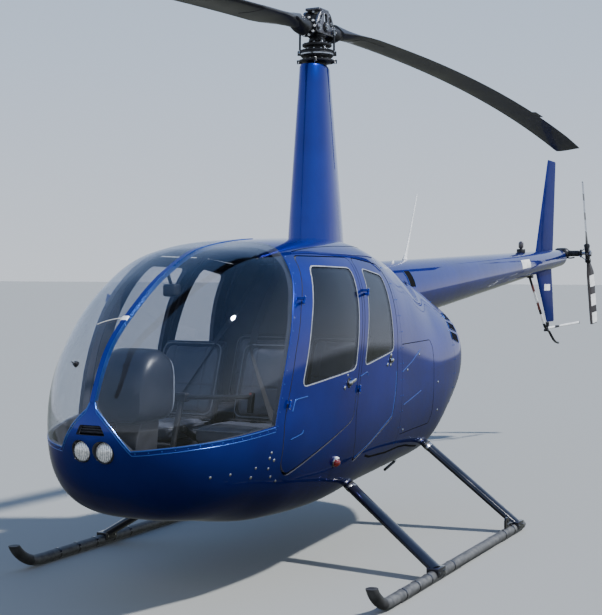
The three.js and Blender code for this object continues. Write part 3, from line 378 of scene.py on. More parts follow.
def grown(points, distance):
    p = np.array(points, float)
    before, after = np.roll(p, 1, 0), np.roll(p, -1, 0)
    side = 1 if np.sum(p[:, 0] * after[:, 1] - after[:, 0] * p[:, 1]) > 0 else -1
    into = (p - before) / np.linalg.norm(p - before, axis=1)[:, None]
    onto = (after - p) / np.linalg.norm(after - p, axis=1)[:, None]
    normal = side * np.stack([into[:, 1] + onto[:, 1], -into[:, 0] - onto[:, 0]], 1)
    normal /= np.linalg.norm(normal, axis=1)[:, None]
    cosine = np.maximum(0.4, side * (normal[:, 0] * into[:, 1] - normal[:, 1] * into[:, 0]))
    return [tuple(q) for q in p + normal * (distance / cosine)[:, None]]


def circle(u, v, radius, sides=24, radius_v=None, first=0.5):
    """Places round a circle or an oval; first is where it starts, as a share of a step."""
    turns = (np.arange(sides) + first) * 2 * np.pi / sides
    return [(u + radius * math.cos(t), v + (radius_v or radius) * math.sin(t)) for t in turns]


# %% Meshes from points
TRAY = []


def coat(obj, finish_name):
    obj.data.materials.clear()
    obj.data.materials.append(FINISH[finish_name])
    return obj


def made(name, points, faces):
    """A mesh from points in millimetres, with its faces turned outwards."""
    mesh = bpy.data.meshes.new(name)
    mesh.from_pydata([tuple(p) for p in metres(points)], [], faces)
    mesh.validate()
    work = bmesh.new()
    work.from_mesh(mesh)
    bmesh.ops.recalc_face_normals(work, faces=work.faces)
    work.to_mesh(mesh)
    work.free()
    solid = placed(name, mesh)
    if name in FINISH:
        TRAY.append(coat(solid, name))
    return solid


def ring_faces(rows, around, closed=False):
    faces = []
    for r in range(rows if closed else rows - 1):
        s = (r + 1) % rows
        for i in range(around):
            j = (i + 1) % around
            faces.append((r * around + i, r * around + j, s * around + j, s * around + i))
    return faces


def lofted(name, rings, closed=False):
    """A skin over rings of points. Its ends are capped, or the last ring meets the first."""
    rings = np.array(rings, float)
    rows, around = rings.shape[:2]
    faces = ring_faces(rows, around, closed)
    if not closed:
        faces += [tuple(range(around - 1, -1, -1)), tuple(range((rows - 1) * around, rows * around))]
    return made(name, rings.reshape(-1, 3), faces)


PLANE_AXES = {"yz": [1, 2, 0], "xy": [0, 1, 2], "xz": [0, 2, 1]}


def prism(name, plane, outline, start, end):
    rings = np.zeros((2, len(outline), 3))
    rings[:, :, PLANE_AXES[plane][:2]] = np.array(outline, float)
    rings[:, :, PLANE_AXES[plane][2]] = [[start], [end]]
    return lofted(name, rings)


def side_axes(start, end, across=None):
    along = np.array(end, float) - np.array(start, float)
    along /= np.linalg.norm(along)
    if across is None:
        across = (0, 0, 1) if abs(along[2]) < 0.8 else (0, 1, 0)
    v = np.cross(along, across)
    v /= np.linalg.norm(v)
    return np.cross(v, along), v


def bar(name, section, start, end, across=None, end_section=None):
    u, v = side_axes(start, end, across)
    ends = ((start, section), (end, end_section or section))
    return lofted(name, [[np.array(at, float) + a * u + b * v for a, b in drawn] for at, drawn in ends])


def rod(name, start, end, radius, sides=24, end_radius=None):
    return bar(name, circle(0, 0, radius, sides), start, end, None, circle(0, 0, end_radius or radius, sides))


def turned(name, profile, start, towards=(0, 0, 1), sides=32):
    """A closed profile of (radius, distance along the axis) turned about the line from start."""
    start = np.array(start, float)
    u, v = side_axes(start, start + towards)
    along = np.array(towards, float) / np.linalg.norm(towards)
    rings = []
    for c, s in circle(0, 0, 1, sides, first=0):
        rings.append([start + (u * c + v * s) * r + along * d for r, d in profile])
    return lofted(name, rings, closed=True)


def smooth_path(points, steps=8):
    p = [np.array(q, float) for q in points]
    p = [2 * p[0] - p[1]] + p + [2 * p[-1] - p[-2]]
    result = []
    for i in range(1, len(p) - 2):
        a, b, c, d = p[i - 1 : i + 3]
        for t in np.arange(steps) / steps:
            bend = (2 * a - 5 * b + 4 * c - d) * t**2 + (3 * b - a - 3 * c + d) * t**3
            result.append(0.5 * (2 * b + (c - a) * t + bend))
    result.append(p[-2])
    return np.array(result)


def swept(name, path, section, up=(0, 0, 1), closed=False):
    """A section carried along a path; the section's second axis stays close to up."""
    path = np.array(path, float)
    steps = np.roll(path, -1, 0) - np.roll(path, 1, 0)
    if not closed:
        steps[0], steps[-1] = path[1] - path[0], path[-1] - path[-2]
    rings = []
    for at, along in zip(path, steps):
        along = along / np.linalg.norm(along)
        u = np.cross(along, up)
        u = u / np.linalg.norm(u) if np.linalg.norm(u) > 1e-6 else np.array([1.0, 0, 0])
        rings.append([at + a * u + b * np.cross(u, along) for a, b in section])
    return lofted(name, rings, closed)


# %% Cutting, joining and placing
def apply_modifiers(obj):
    graph = bpy.context.evaluated_depsgraph_get()
    obj.data = bpy.data.meshes.new_from_object(obj.evaluated_get(graph))
    obj.modifiers.clear()
    return obj


def cut(obj, *tools, how="DIFFERENCE"):
    for tool in tools:
        step = obj.modifiers.new("cut", "BOOLEAN")
        step.operation, step.object, step.solver = how, tool, "MANIFOLD"
        apply_modifiers(obj)
        bpy.data.objects.remove(tool)
    return obj


def common(obj, *tools):
    """Keeps what lies inside the tools too."""
    return cut(obj, *tools, how="INTERSECT")


def copy_of(obj, name):
    return placed(name, obj.data.copy())


def joined(name, parts):
    work = bmesh.new()
    materials = []
    for part in parts:
        mesh = part.data
        own = [m for m in mesh.materials if m]
        materials += [m for m in own if m not in materials]
        index = [materials.index(own[min(p.material_index, len(own) - 1)]) for p in mesh.polygons]
        mesh.transform(part.matrix_world)
        mesh.polygons.foreach_set("material_index", index)
        work.from_mesh(mesh)
        bpy.data.objects.remove(part)
    mesh = bpy.data.meshes.new(name)
    work.to_mesh(mesh)
    work.free()
    for m in materials:
        mesh.materials.append(m)
    return placed(name, mesh)


def from_tray(name):
    """Joins what lies on the tray and empties it."""
    whole = joined(name, TRAY)
    TRAY.clear()
    return whole


def shade(obj, angle=35):
    obj.data.polygons.foreach_set("use_smooth", [True] * len(obj.data.polygons))
    obj.data.set_sharp_from_angle(angle=math.radians(angle))
    return obj


def softened(obj, width, segments=2, angle=40):
    bevel = obj.modifiers.new("edge", "BEVEL")
    bevel.width, bevel.segments = width / 1000, segments
    bevel.limit_method, bevel.angle_limit = "ANGLE", math.radians(angle)
    return apply_modifiers(obj)


def block(name, x0, x1, y0, y1, z0, z1, edge=0, segments=2):
    whole = prism(name, "xy", [(x0, y0), (x1, y0), (x1, y1), (x0, y1)], z0, z1)
    return softened(whole, edge, segments) if edge else whole


def fitted(obj, body, slot_name, *nodes, angle=35):
    if angle:
        shade(obj, angle)
    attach(obj, body)
    if nodes:
        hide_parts(*nodes)
    return obj


print("planes to draw in", *PLANE_AXES)

# %% [markdown]
# ## The fuselage's surface
# The cabin and the cowls share one smooth egg. Its sections come from a short table: at each length the
# half width, the lowest, widest and highest level, and how square the section is above and below.
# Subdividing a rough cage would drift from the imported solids, so the same formula is sampled more finely.
# Its slope is known too, and the shading takes its normals from it, so that the clear coat mirrors the sky
# without a ripple.

# %% Table of sections
# place along, half width, lowest, widest and highest level, squareness above and below
HULL_ROWS = np.array([
    (-2390, 0, 900, 900, 900, 2.0, 2.0),
    (-2340, 205, 750, 900, 1116, 2.0, 2.15),
    (-2240, 342, 590, 910, 1295, 2.05, 2.55),
    (-2050, 475, 468, 930, 1463, 2.35, 2.9),
    (-1750, 568, 415, 960, 1651, 2.8, 3.0),
    (-1400, 617, 360, 990, 1781, 3.2, 3.25),
    (-900, 640, 342, 1000, 1837, 3.5, 3.2),
    (-300, 625, 378, 1010, 1858, 3.2, 3.05),
    (200, 600, 405, 1030, 1816, 2.45, 3.15),
    (700, 580, 430, 1050, 1719, 1.9, 3.1),
    (1050, 554, 574, 1070, 1588, 2.0, 2.65),
    (1300, 500, 759, 1085, 1434, 2.45, 2.35),
    (1464, 0, 1098, 1098, 1098, 2.0, 2.0),
])
NOSE_Y, TAIL_Y = HULL_ROWS[0, 0], HULL_ROWS[-1, 0]
HULL_MIDDLE, HULL_HALF = (NOSE_Y + TAIL_Y) / 2, (TAIL_Y - NOSE_Y) / 2
HULL_WIDE, HULL_UP, HULL_DOWN = 640, 850, 660


def along_hull(y, inset=0.0):
    return np.arccos(np.clip((HULL_MIDDLE - np.asarray(y, float)) / (HULL_HALF - inset), -1, 1)) / np.pi


STATIONS = along_hull(HULL_ROWS[:, 0])
RISES = np.diff(HULL_ROWS[:, 1:], axis=0) / np.diff(STATIONS)[:, None]
SLOPES = np.vstack([RISES[:1], np.zeros_like(RISES[1:]), RISES[-1:]])
for i in range(1, len(RISES)):
    same = RISES[i - 1] * RISES[i] > 0
    SLOPES[i] = np.where(same, 2 * RISES[i - 1] * RISES[i] / np.where(same, RISES[i - 1] + RISES[i], 1), 0)


def hull_at(s, inset=0.0):
    """Half width, waist, height above and depth below it, and the two squarenesses along the hull."""
    s = np.atleast_1d(s)
    i = np.clip(np.searchsorted(STATIONS, s, side="right") - 1, 0, len(STATIONS) - 2)
    gap = (STATIONS[i + 1] - STATIONS[i])[:, None]
    t = (s - STATIONS[i])[:, None] / gap
    row = (1 + 2 * t) * (1 - t) ** 2 * HULL_ROWS[i, 1:] + t * (1 - t) ** 2 * gap * SLOPES[i]
    row += t * t * (3 - 2 * t) * HULL_ROWS[i + 1, 1:] + t * t * (t - 1) * gap * SLOPES[i + 1]
    wide, bottom, waist, top, full_up, full_down = row.T
    up, down = (top - waist) * (HULL_UP - inset) / HULL_UP, (waist - bottom) * (HULL_DOWN - inset) / HULL_DOWN
    return wide * (HULL_WIDE - inset) / HULL_WIDE, waist, up, down, full_up, full_down


def hull_solid(name, inset, rings=110, around=128):
    s = np.linspace(0, 1, rings + 1)
    wide, waist, up, down, full_up, full_down = hull_at(s, inset)
    y = HULL_MIDDLE - (HULL_HALF - inset) * np.cos(np.pi * s)
    c, d = np.array(circle(0, 0, 1, around, first=0)).T
    points = []
    for k in range(1, rings):
        full = np.where(d >= 0, full_up[k], full_down[k])
        reach = (np.abs(c) ** full + np.abs(d) ** full) ** (-1 / full)
        z = waist[k] + reach * d * np.where(d >= 0, up[k], down[k])
        points.append(np.stack([wide[k] * reach * c, np.full(around, y[k]), z], 1))
    points.append([(0, y[0], waist[0]), (0, y[-1], waist[-1])])
    faces = ring_faces(rings - 1, around)
    nose, last = (rings - 1) * around, (rings - 2) * around
    for i in range(around):
        j = (i + 1) % around
        faces += [(nose, j, i), (nose + 1, last + i, last + j)]
    return made(name, np.concatenate(points), faces)


def skin_x(y, z, inset=0.0):
    wide, waist, up, down, full_up, full_down = hull_at(along_hull(y, inset), inset)
    upper = z > waist
    part = np.minimum(1, np.abs(z - waist) / np.maximum(np.where(upper, up, down), 1e-6))
    full = np.where(upper, full_up, full_down)
    return wide * (1 - part**full) ** (1 / full)


# %% Slope of the surface and finishes by side
SLOPE_STEP, NEAR_SKIN, NEAR_TIP, FACES_OUT = 0.6, 2.5, 1.5, 0.8


def surface_value(p, inset):
    wide, waist, up, down, full_up, full_down = hull_at(along_hull(p[:, 1], inset), inset)
    upper = p[:, 2] > waist
    reach = np.maximum(np.where(upper, up, down), 1e-6)
    full = np.where(upper, full_up, full_down)
    value = (np.abs(p[:, 0]) / np.maximum(wide, 1e-6)) ** full + (np.abs(p[:, 2] - waist) / reach) ** full
    return value ** (1 / full)


def surface_slope(p, inset):
    steps = np.eye(3) * SLOPE_STEP
    change = [surface_value(p + step, inset) - surface_value(p - step, inset) for step in steps]
    return np.stack(change, 1) / (2 * SLOPE_STEP)


def read(collection, attribute, wide=1, kind=float):
    values = np.zeros(len(collection) * wide, kind)
    collection.foreach_get(attribute, values)
    return values.reshape(-1, wide) if wide > 1 else values


def lay_on_skin(obj, outer_finish, inner_finish, outer=0.0, inner=22.0, rim_finish=None, angle=40):
    """Gives the outer and inner faces of a cut shell their finishes and the surface's own normals."""
    mesh = obj.data
    mesh.materials.clear()
    for finish_name in (outer_finish, inner_finish, rim_finish or outer_finish):
        mesh.materials.append(FINISH[finish_name])
    shade(obj, angle)
    p = read(mesh.vertices, "co", 3) * 1000 + [0, AXIS_TO_MIDDLE, 0]
    normals = read(mesh.polygons, "normal", 3)
    corner = read(mesh.loops, "vertex_index", kind=int)
    sizes = read(mesh.polygons, "loop_total", kind=int)
    corner_face = np.repeat(np.arange(len(sizes)), sizes)
    corner_normals = np.zeros((len(mesh.loops), 3))
    index = np.full(len(sizes), 2, np.int32)
    for which, (inset, sense) in enumerate(((outer, 1), (inner, -1))):
        slope = surface_slope(p, inset)
        length = np.maximum(np.linalg.norm(slope, axis=1), 1e-9)
        direction = sense * slope / length[:, None]
        on = np.abs(surface_value(p, inset) - 1) / length < NEAR_SKIN
        for tip, way in ((NOSE_Y + inset, -1), (TAIL_Y - inset, 1)):
            at_tip = np.abs(p[:, 1] - tip) < NEAR_TIP
            direction[at_tip] = (0, way * sense, 0)
            on |= at_tip
        good = on[corner] & ((direction[corner] * normals[corner_face]).sum(1) > FACES_OUT)
        face_good = np.ones(len(sizes), bool)
        np.logical_and.at(face_good, corner_face, good)
        index[face_good] = which
        use = face_good[corner_face]
        corner_normals[use] = direction[corner[use]]
    mesh.polygons.foreach_set("material_index", index)
    mesh.normals_split_custom_set(corner_normals.tolist())
    return obj


def skin_layer(name, outer, inner):
    return cut(hull_solid(name, outer), hull_solid("core", inner))


print("hull length", TAIL_Y - NOSE_Y, "mm, half width at the door", int(skin_x(-900, 1000)[0]))

# %% [markdown]
# ## Panels of the cabin
# The windshield is two blown halves that meet at a painted strip, and each side has two hinged doors. Their
# outlines are drawn in side view, and the windshield's also from the front and in plan. One shell is cut by
# all of them, so every gap between a door and its frame is the same narrow dark line as on the real
# machine.

# %% Outlines of doors, windows and windshield
WALL, PANE, COWL_WALL = 22, 5, 15
DOOR_GAP, SEAT_GAP = 6, 0.4
SIDE_START, SIDE_REACH = 60, 720
FRONT_DOOR = [(-1190, 1736), (-611, 1736), (-868, 862), (-1548, 652), (-1602, 700), (-1592, 930),
              (-1486, 1250), (-1380, 1470)]
FRONT_WINDOW = [(-1142, 1688), (-682, 1680), (-830, 1131), (-1440, 1075), (-1310, 1400), (-1225, 1560)]
REAR_DOOR = [(-571, 1736), (-824, 880), (-800, 625), (-250, 815), (-200, 960), (-165, 1300), (-150, 1600),
             (-185, 1700)]
REAR_WINDOW = [(-520, 1680), (-233, 1640), (-245, 1200), (-706, 1140)]
DOORS = {
    "front": (rounded(FRONT_DOOR, 45), rounded(FRONT_WINDOW, 50)),
    "rear": (rounded(REAR_DOOR, 40), rounded(REAR_WINDOW, 45)),
}
WINDSHIELD_SIDE = [
    (-2500, 820), (-2340, 836), (-1668, 905), (-1655, 975), (-1612, 1120), (-1562, 1250), (-1458, 1470),
    (-1370, 1600), (-1268, 1736), (-1100, 1850), (-700, 1990), (-2500, 1990),
]
WINDSHIELD_FRONT = [(190, 836), (20, 1030), (14, 1060), (14, 2000), (720, 2000), (720, 836)]
WINDSHIELD_PLAN = [
    (8, -2600), (8, -850), (120, -872), (300, -1000), (430, -1130), (540, -1270), (620, -1330), (720, -1400),
    (720, -2600),
]
# where a door's swinging edge needs more room: y, z, reach, shift in y and in z
RELIEFS = {"front": [(-1560, 665, 160, 0, -9)], "rear": [(-800, 640, 160, 0, -10), (-170, 1680, 200, 9, 0)]}
PANE_VIEWS = (("xz", WINDSHIELD_FRONT, (-2600, -300)), ("xy", WINDSHIELD_PLAN, (600, 2000)))


def through_side(outline, side):
    return prism("side_cut", "yz", outline, *sorted((side * SIDE_START, side * SIDE_REACH)))


def windshield_solid(side, gap):
    whole = prism("pane_side", "yz", grown(WINDSHIELD_SIDE, -gap), *sorted((side * 2, side * SIDE_REACH)))
    views = []
    for plane, outline, ends in PANE_VIEWS:
        views.append(prism("pane_view", plane, [(side * u, v) for u, v in grown(outline, -gap)], *ends))
    return common(whole, *views)


def door_opening(which):
    result = []
    for y, z in grown(DOORS[which][0], DOOR_GAP):
        moved = [y, z]
        for ry, rz, reach, dy, dz in RELIEFS[which]:
            near = min(1, max(0, 1.6 - 1.6 * math.hypot(y - ry, z - rz) / reach))
            moved[0] += near * dy
            moved[1] += near * dz
        result.append(tuple(moved))
    return result


# %% [markdown]
# ## Cabin shell
# The lower hull and the roof frame are one shell here, because their joint is hidden under paint on the
# real machine. The windshield, four doors, the lamps, the air slot and the leg holes are cut from it.

# %% Shell with its openings
CABIN_END, LAMP = -97, {"x": 61, "z": 824, "r": 54, "front": -2395, "back": -2300}
LEGS = {
    "front": {"foot": (1064, -718, 60), "top": (469, -530, 443), "inside": 1.1},
    "rear": {"foot": (1064, 752, 60), "top": (469, 704, 536), "inside": 1.12},
}


def leg_point(leg, part, side):
    foot, top = np.array(leg["foot"], float), np.array(leg["top"], float)
    return (foot + (top - foot) * part) * [side, 1, 1]


def leg_bar(name, leg, side, section, start, end):
    """A bar along a leg, from one share of its length to another."""
    return bar(name, section, leg_point(leg, start, side), leg_point(leg, end, side), (0, 1, 0))


def leg_holes():
    section = circle(0, 0, 50.8, 32, 25.8)
    legs = [(leg, side) for leg in LEGS.values() for side in (1, -1)]
    return [leg_bar("leg_hole", leg, side, section, 0.01, leg["inside"]) for leg, side in legs]


shell = skin_layer("cabin_shell", 0, WALL)
cut(shell, block("aft_half", -800, 800, CABIN_END, 1600, 0, 2500))
for side in (1, -1):
    cut(shell, windshield_solid(side, 0), *(through_side(door_opening(which), side) for which in DOORS))
    lamp_at = side * LAMP["x"]
    cut(shell, rod("lamp_hole", (lamp_at, LAMP["front"] - 20, LAMP["z"]), (lamp_at, LAMP["back"], LAMP["z"]),
                   LAMP["r"], 48))
air_slot = rounded([(-80, 902), (80, 902), (56, 949), (-56, 949)], 8)
cut(shell, prism("slot", "xz", air_slot, -2500, -2250))
cut(shell, block("strip_bed", -14.4, 14.4, -2500, -850, 1050, 2000))
cut(shell, *leg_holes())
lay_on_skin(shell, "blue", "bow_grey", rim_finish="bow_grey")
fitted(shell, "airframe", "body_paint", "lower_hull", "roof_frame", angle=None)
print("cabin shell", len(shell.data.polygons), "faces")

# %% [markdown]
# ## Windshield and its strip
# The two halves are thin blown acrylic. They follow the same surface as the metal round them, so they are
# cut from the same egg with a thinner wall. A painted strip stands a few millimetres proud along the
# middle.

# %% Panes and strip
for label, side in SIDES.items():
    pane = common(skin_layer(f"windshield_pane_{label}", 0, PANE), windshield_solid(side, SEAT_GAP))
    lay_on_skin(pane, "windshield", "windshield", inner=PANE)
    fitted(pane, "airframe", "tinted_pane", f"windshield_{label}", angle=None)
strip = common(skin_layer("middle_strip", -4, WALL), block("strip_box", -13, 13, -2500, -850.4, 1050.4, 2000))
# the strip's rims take the lighter blue, a painted highlight on its edges
lay_on_skin(strip, "blue", "bow_grey", outer=-4, rim_finish="blue_highlight")
fitted(strip, "airframe", "body_paint", "windshield_strip", angle=None)
print("windshield halves 2, strip 1")

# %% [markdown]
# ## Doors
# Each door is a pressed shell with its window let in on a pale seal. It is cut from the same wall as the
# cabin, so the closed door lies flush, and the window is its own thin pane behind a narrow retaining band.

# %% Door shells, panes and window bands
for label, side in SIDES.items():
    for which, (outline, window) in DOORS.items():
        name, body = f"{which}_{label}", f"{which}_{label}_door"
        door = common(skin_layer(f"door_shell_{name}", 0, WALL), through_side(outline, side))
        cut(door, through_side(window, side))
        lay_on_skin(door, "blue", "trim_dark", rim_finish="bow_grey")
        fitted(door, body, "body_paint", f"door_{name}", angle=None)
        pane = skin_layer(f"door_pane_{name}", 2, 2 + PANE)
        common(pane, through_side(grown(window, -SEAT_GAP), side))
        lay_on_skin(pane, "door_pane", "door_pane", outer=2, inner=2 + PANE)
        fitted(pane, body, "tinted_pane", f"window_{name}", angle=None)
        inner_line = grown(window, -3)
        band = common(skin_layer("band", -1.6, 1), through_side(grown(inner_line, 5.5), side))
        cut(band, through_side(inner_line, side))
        lay_on_skin(band, "seal_grey", "seal_grey", outer=-1.6, inner=1)
        fitted(band, body, "body_paint", angle=None)
print("doors", 2 * len(DOORS))

# %% [markdown]
# ## Cowls round the engine
# Behind the cabin the same egg is split into a left, a right and an aft cowl. The tail cone passes through
# them, the fan blows out at the back, and the belly is open under the engine. Real cowls carry pressed
# ridges, a vent where the cone leaves, and slots beside the fan, and those are small raised pieces laid on
# the surface.

# %% Cone, fan and cowl shells
CONE = {"start": 560, "end": 5750, "tip": 5845, "ref_y": 2300, "ref_z": 1600, "rise": 0.067, "ref_r": 186,
        "taper": 0.0297, "wall": 8}
FAN = {"z": 1020, "hub_z": 1010, "r": 215, "hole": 232, "front": 1120, "back": 1200}
BELLY = {"half": 250, "front": 60, "back": 560}
AFT_COWL = 1000
# past the cone's end and share of the radius there
CONE_END = [(15, 0.97), (35, 0.92), (60, 0.82), (80, 0.69), (95, 0.5)]


def cone_z(y):
    return CONE["ref_z"] + CONE["rise"] * (y - CONE["ref_y"])


def cone_r(y):
    return CONE["ref_r"] - CONE["taper"] * (y - CONE["ref_y"])


def cone_ring(y, radius):
    return [(x, y, z) for x, z in circle(0, cone_z(y), radius, 64)]


def cone_solid(name, extra, start=CONE["start"]):
    end = cone_r(CONE["end"])
    rings = [cone_ring(start, cone_r(start) + extra), cone_ring(CONE["end"], end + extra)]
    rings += [cone_ring(CONE["end"] + part, end * keep + extra) for part, keep in CONE_END]
    return lofted(name, rings)


cowl = skin_layer("cowl_shell", 0, COWL_WALL)
cut(cowl, rod("fan_hole", (0, 1150, FAN["z"]), (0, 1600, FAN["z"]), FAN["hole"], 64))
cut(cowl, block("belly", -BELLY["half"], BELLY["half"], BELLY["front"], BELLY["back"], 300, 700))
cut(cowl, cone_solid("cone_hole", 2, CONE["start"] - 50), *leg_holes())
# name, x from and to, y from and to
COWLS = [
    ("cowl_left", 1, 800, CABIN_END + 2, AFT_COWL - 1),
    ("cowl_right", -800, -1, CABIN_END + 2, AFT_COWL - 1),
    ("aft_cowl", -800, 800, AFT_COWL + 1, 1600),
]
for name, x0, x1, y0, y1 in COWLS:
    panel = common(copy_of(cowl, name + "_panel"), block("cowl_box", x0, x1, y0, y1, 0, 2500))
    lay_on_skin(panel, "blue", "slot_black", inner=COWL_WALL)
    fitted(panel, "airframe", "cowl_paint", name, angle=None)
bpy.data.objects.remove(cowl)
print("cowls", len(COWLS))

# %% [markdown]
# ## Things laid on the skin
# Beads, slots and fasteners all follow the curved skin. A point is given in side view, the surface formula
# gives its distance out and its slope, and a small shape is stood on it. Screws and rivets are low domes
# made as one mesh, since there are hundreds.

# %% Placing on the skin
# reach and rise of a low dome's rings, as shares of its radius and height
DOME_RINGS = [(1, -0.3), (0.96, 0.35), (0.6, 0.85)]


def skin_point(y, z, side=1, lift=0.0):
    p = np.array([[float(skin_x(y, z)[0]), y, z]])
    slope = surface_slope(p, 0)[0]
    normal = slope / np.linalg.norm(slope)
    return (p[0] + normal * lift) * [side, 1, 1], normal * [side, 1, 1]


def along_line(points, spacing):
    """Evenly spaced places along a line, about spacing apart."""
    p = np.array(points, float)
    reach = np.concatenate([[0], np.cumsum(np.linalg.norm(np.diff(p, axis=0), axis=1))])
    stops = np.linspace(0, reach[-1], max(2, int(round(reach[-1] / spacing)) + 1))
    return np.stack([np.interp(stops, reach, column) for column in p.T], 1)


def domes(name, places, radius, height, sides=8):
    """Low domes at (point, normal) pairs, as one mesh."""
    points, faces = [], []
    for at, normal in places:
        u = np.cross(normal, (0.3, 0.2, 0.93))
        u /= np.linalg.norm(u)
        v = np.cross(normal, u)
        base, rim = len(points), circle(0, 0, radius, sides, first=0)
        for reach, rise in DOME_RINGS:
            points += [at + (u * a + v * b) * reach + normal * rise * height for a, b in rim]
        points.append(at + normal * height)
        tip, last = base + len(DOME_RINGS) * sides, base + (len(DOME_RINGS) - 1) * sides
        faces += [tuple(base + k for k in face) for face in ring_faces(len(DOME_RINGS), sides)]
        faces += [(last + k, last + (k + 1) % sides, tip) for k in range(sides)]
        faces.append(tuple(range(base + sides - 1, base - 1, -1)))
    return made(name, points, faces)


print("skin at the door", [round(v, 2) for v in skin_point(-900, 1000)[1]])

# %% [markdown]
# ## Mast fairing
# The rotor's drive goes up inside a tall streamlined tower. It is a loft through drop-shaped sections that
# get smaller upwards, with a flat cap and a flared foot where it meets the roof.

# %% Fairing
# level, front edge, rear edge, half width
FAIRING = [(1690, -277, 422, 137), (1980, -252, 372, 124), (2400, -214, 286, 101), (2800, -174, 199, 80),
           (2912, -162, 178, 76), (2926, -156, 171, 70)]
SHAFT_R, CLEAR_R = 32, 37.5


def drop_section(front, rear, half, level, count=40):
    t = np.arange(count) * 2 * np.pi / count
    along = (1 - np.cos(t)) / 2
    thick = np.minimum(np.sqrt(along) * (1 - along) * 2.6 + 0.06 * along, 1.02)
    return [(half * k, front + (rear - front) * a, level) for k, a in zip(thick * np.sign(np.sin(t)), along)]


fairing = lofted("mast_tower", [drop_section(f, r, h, z) for z, f, r, h in FAIRING])
cut(fairing, hull_solid("roof_bed", -0.4), rod("shaft_room", (0, 0, 2680), (0, 0, 3000), CLEAR_R, 32))
fitted(coat(fairing, "blue"), "airframe", "cowl_paint", "mast_fairing", angle=30)
print("fairing top", FAIRING[-1][0], "mm")

# %% [markdown]
# ## Tail cone and its surfaces
# The tail cone is a rolled cone that closes in a rounded end. The fins and the stabilizer are thin wings
# with a rounded nose and a sharp trailing edge, so they are lofts of one aerofoil section with a softly
# closed tip.

# %% Cone
inside = [
    cone_ring(CONE["start"] - 10, cone_r(CONE["start"]) - CONE["wall"]),
    cone_ring(CONE["end"] - 100, cone_r(CONE["end"] - 100) - CONE["wall"]),
]
cone = coat(cut(cone_solid("tail_cone_skin", 0), lofted("cone_inside", inside)), "blue")
fitted(cone, "airframe", "body_paint", "tail_cone", angle=50)

# %% Fins and stabilizer
STABILIZER_Z = 1832


def wing_half(along, half):
    rise = 0.2969 * np.sqrt(along) - 0.126 * along - 0.3516 * along**2
    return half * 6 * (rise + 0.2843 * along**3 - 0.1015 * along**4)


def wing_section(front, rear, half, place, count=28):
    t = np.arange(count) * 2 * np.pi / count
    along = (1 - np.cos(t)) / 2
    across = wing_half(along, half) * np.sign(np.sin(t))
    return [place(x, front + (rear - front) * a) for x, a in zip(across, along)]


def upright(z):
    return lambda across, y: (across, y, z)


def sideways(x):
    return lambda across, y: (x, y, STABILIZER_Z + across)


# front, rear and half thickness at each level, or at each distance across for the stabilizer
WINGS = {
    "upper_fin": (upright, [(1800, 4870, 5515, 22), (2300, 5093, 5562, 16.5), (2776, 5306, 5606, 11.5),
                            (2790, 5313, 5603, 8.5), (2796, 5330, 5590, 3.5)]),
    "lower_fin": (upright, [(1191, 5330, 5570, 3.5), (1197, 5312, 5584, 8.5), (1210, 5304, 5588, 11),
                            (1500, 5063, 5528, 16), (1800, 4820, 5465, 21)]),
    "stabilizer": (sideways, [(-1010, 5142, 5420, 4), (-1004, 5131, 5428, 9), (-990, 5130, 5430, 12),
                              (-500, 5095, 5430, 14.5), (-20, 5060, 5430, 17)]),
}
CAD_NODES = {"upper_fin": "upper_fin", "lower_fin": "lower_fin", "stabilizer": "horizontal_stabilizer"}
# the fins take the darker copy of the paint, a painted shade
for name, (place, stations) in WINGS.items():
    rings = [wing_section(front, rear, half, place(at)) for at, front, rear, half in stations]
    wing = cut(coat(lofted(name + "_skin", rings), "blue_shaded_fin"), cone_solid("cone_bed", 0.4, 4000))
    fitted(wing, "airframe", "cowl_paint", CAD_NODES[name], angle=40)
print("tail surfaces", len(WINGS), "cone end", CONE["tip"], "mm")

# %% [markdown]
# ## Landing gear
# Four legs with streamlined covers spread from two tubes under the belly to the two skids. The covers are
# glossy black with a bright cap where they leave the hull, and the skids are bare tube dulled by use,
# with a dark turned-up toe. A leg is one oval section between two points, and a skid is swept along its
# centre line.

# %% Legs
SKID = {"x": 1064, "z": 33, "r": 30, "rear": 874, "bend": -1350, "tip": -1650, "tip_z": 148}
LEG_HALF, LEG_THICK = 50, 25
# finish, how much larger than the leg, share of its length from and to, rounded edge
LEG_RINGS = [("bare_steel", 2.2, 0.955, 0.985, 1.2), ("boot_rubber", 1.4, 0.985, 1, 0)]


def leg_section(grow=0.0):
    return circle(0, 0, LEG_HALF + grow, 40, LEG_THICK + grow, first=0)


for label, leg in LEGS.items():
    reach, y, z = leg_point(leg, leg["inside"], 1)
    rod("strut_black", (-reach, y, z), (reach, y, z), 22)
    for side in (1, -1):
        leg_bar("strut_black", leg, side, leg_section(), 0, leg["inside"])
        for finish_name, grow, start, end, edge in LEG_RINGS:
            ring = leg_bar(finish_name, leg, side, leg_section(grow), start, end)
            if edge:
                softened(ring, edge)
        fx, fy, _ = leg_point(leg, 0, side)
        clamp = block("strut_black", fx - 34, fx + 34, fy - 58, fy + 58, 30, SKID["z"] + SKID["r"] + 12)
        cut(clamp, rod("skid_room", (fx, fy - 90, SKID["z"]), (fx, fy + 90, SKID["z"]), SKID["r"] + 0.6, 32))
        softened(clamp, 7, 3)
        for dy in (-38, 38):
            rod("bare_steel", (fx - 39, fy + dy, 52), (fx + 39, fy + dy, 52), 6, 8)
    fitted(from_tray(f"{label}_legs"), "airframe", "strut_paint", f"{label}_cross_tube")
print("legs", 2 * len(LEGS))

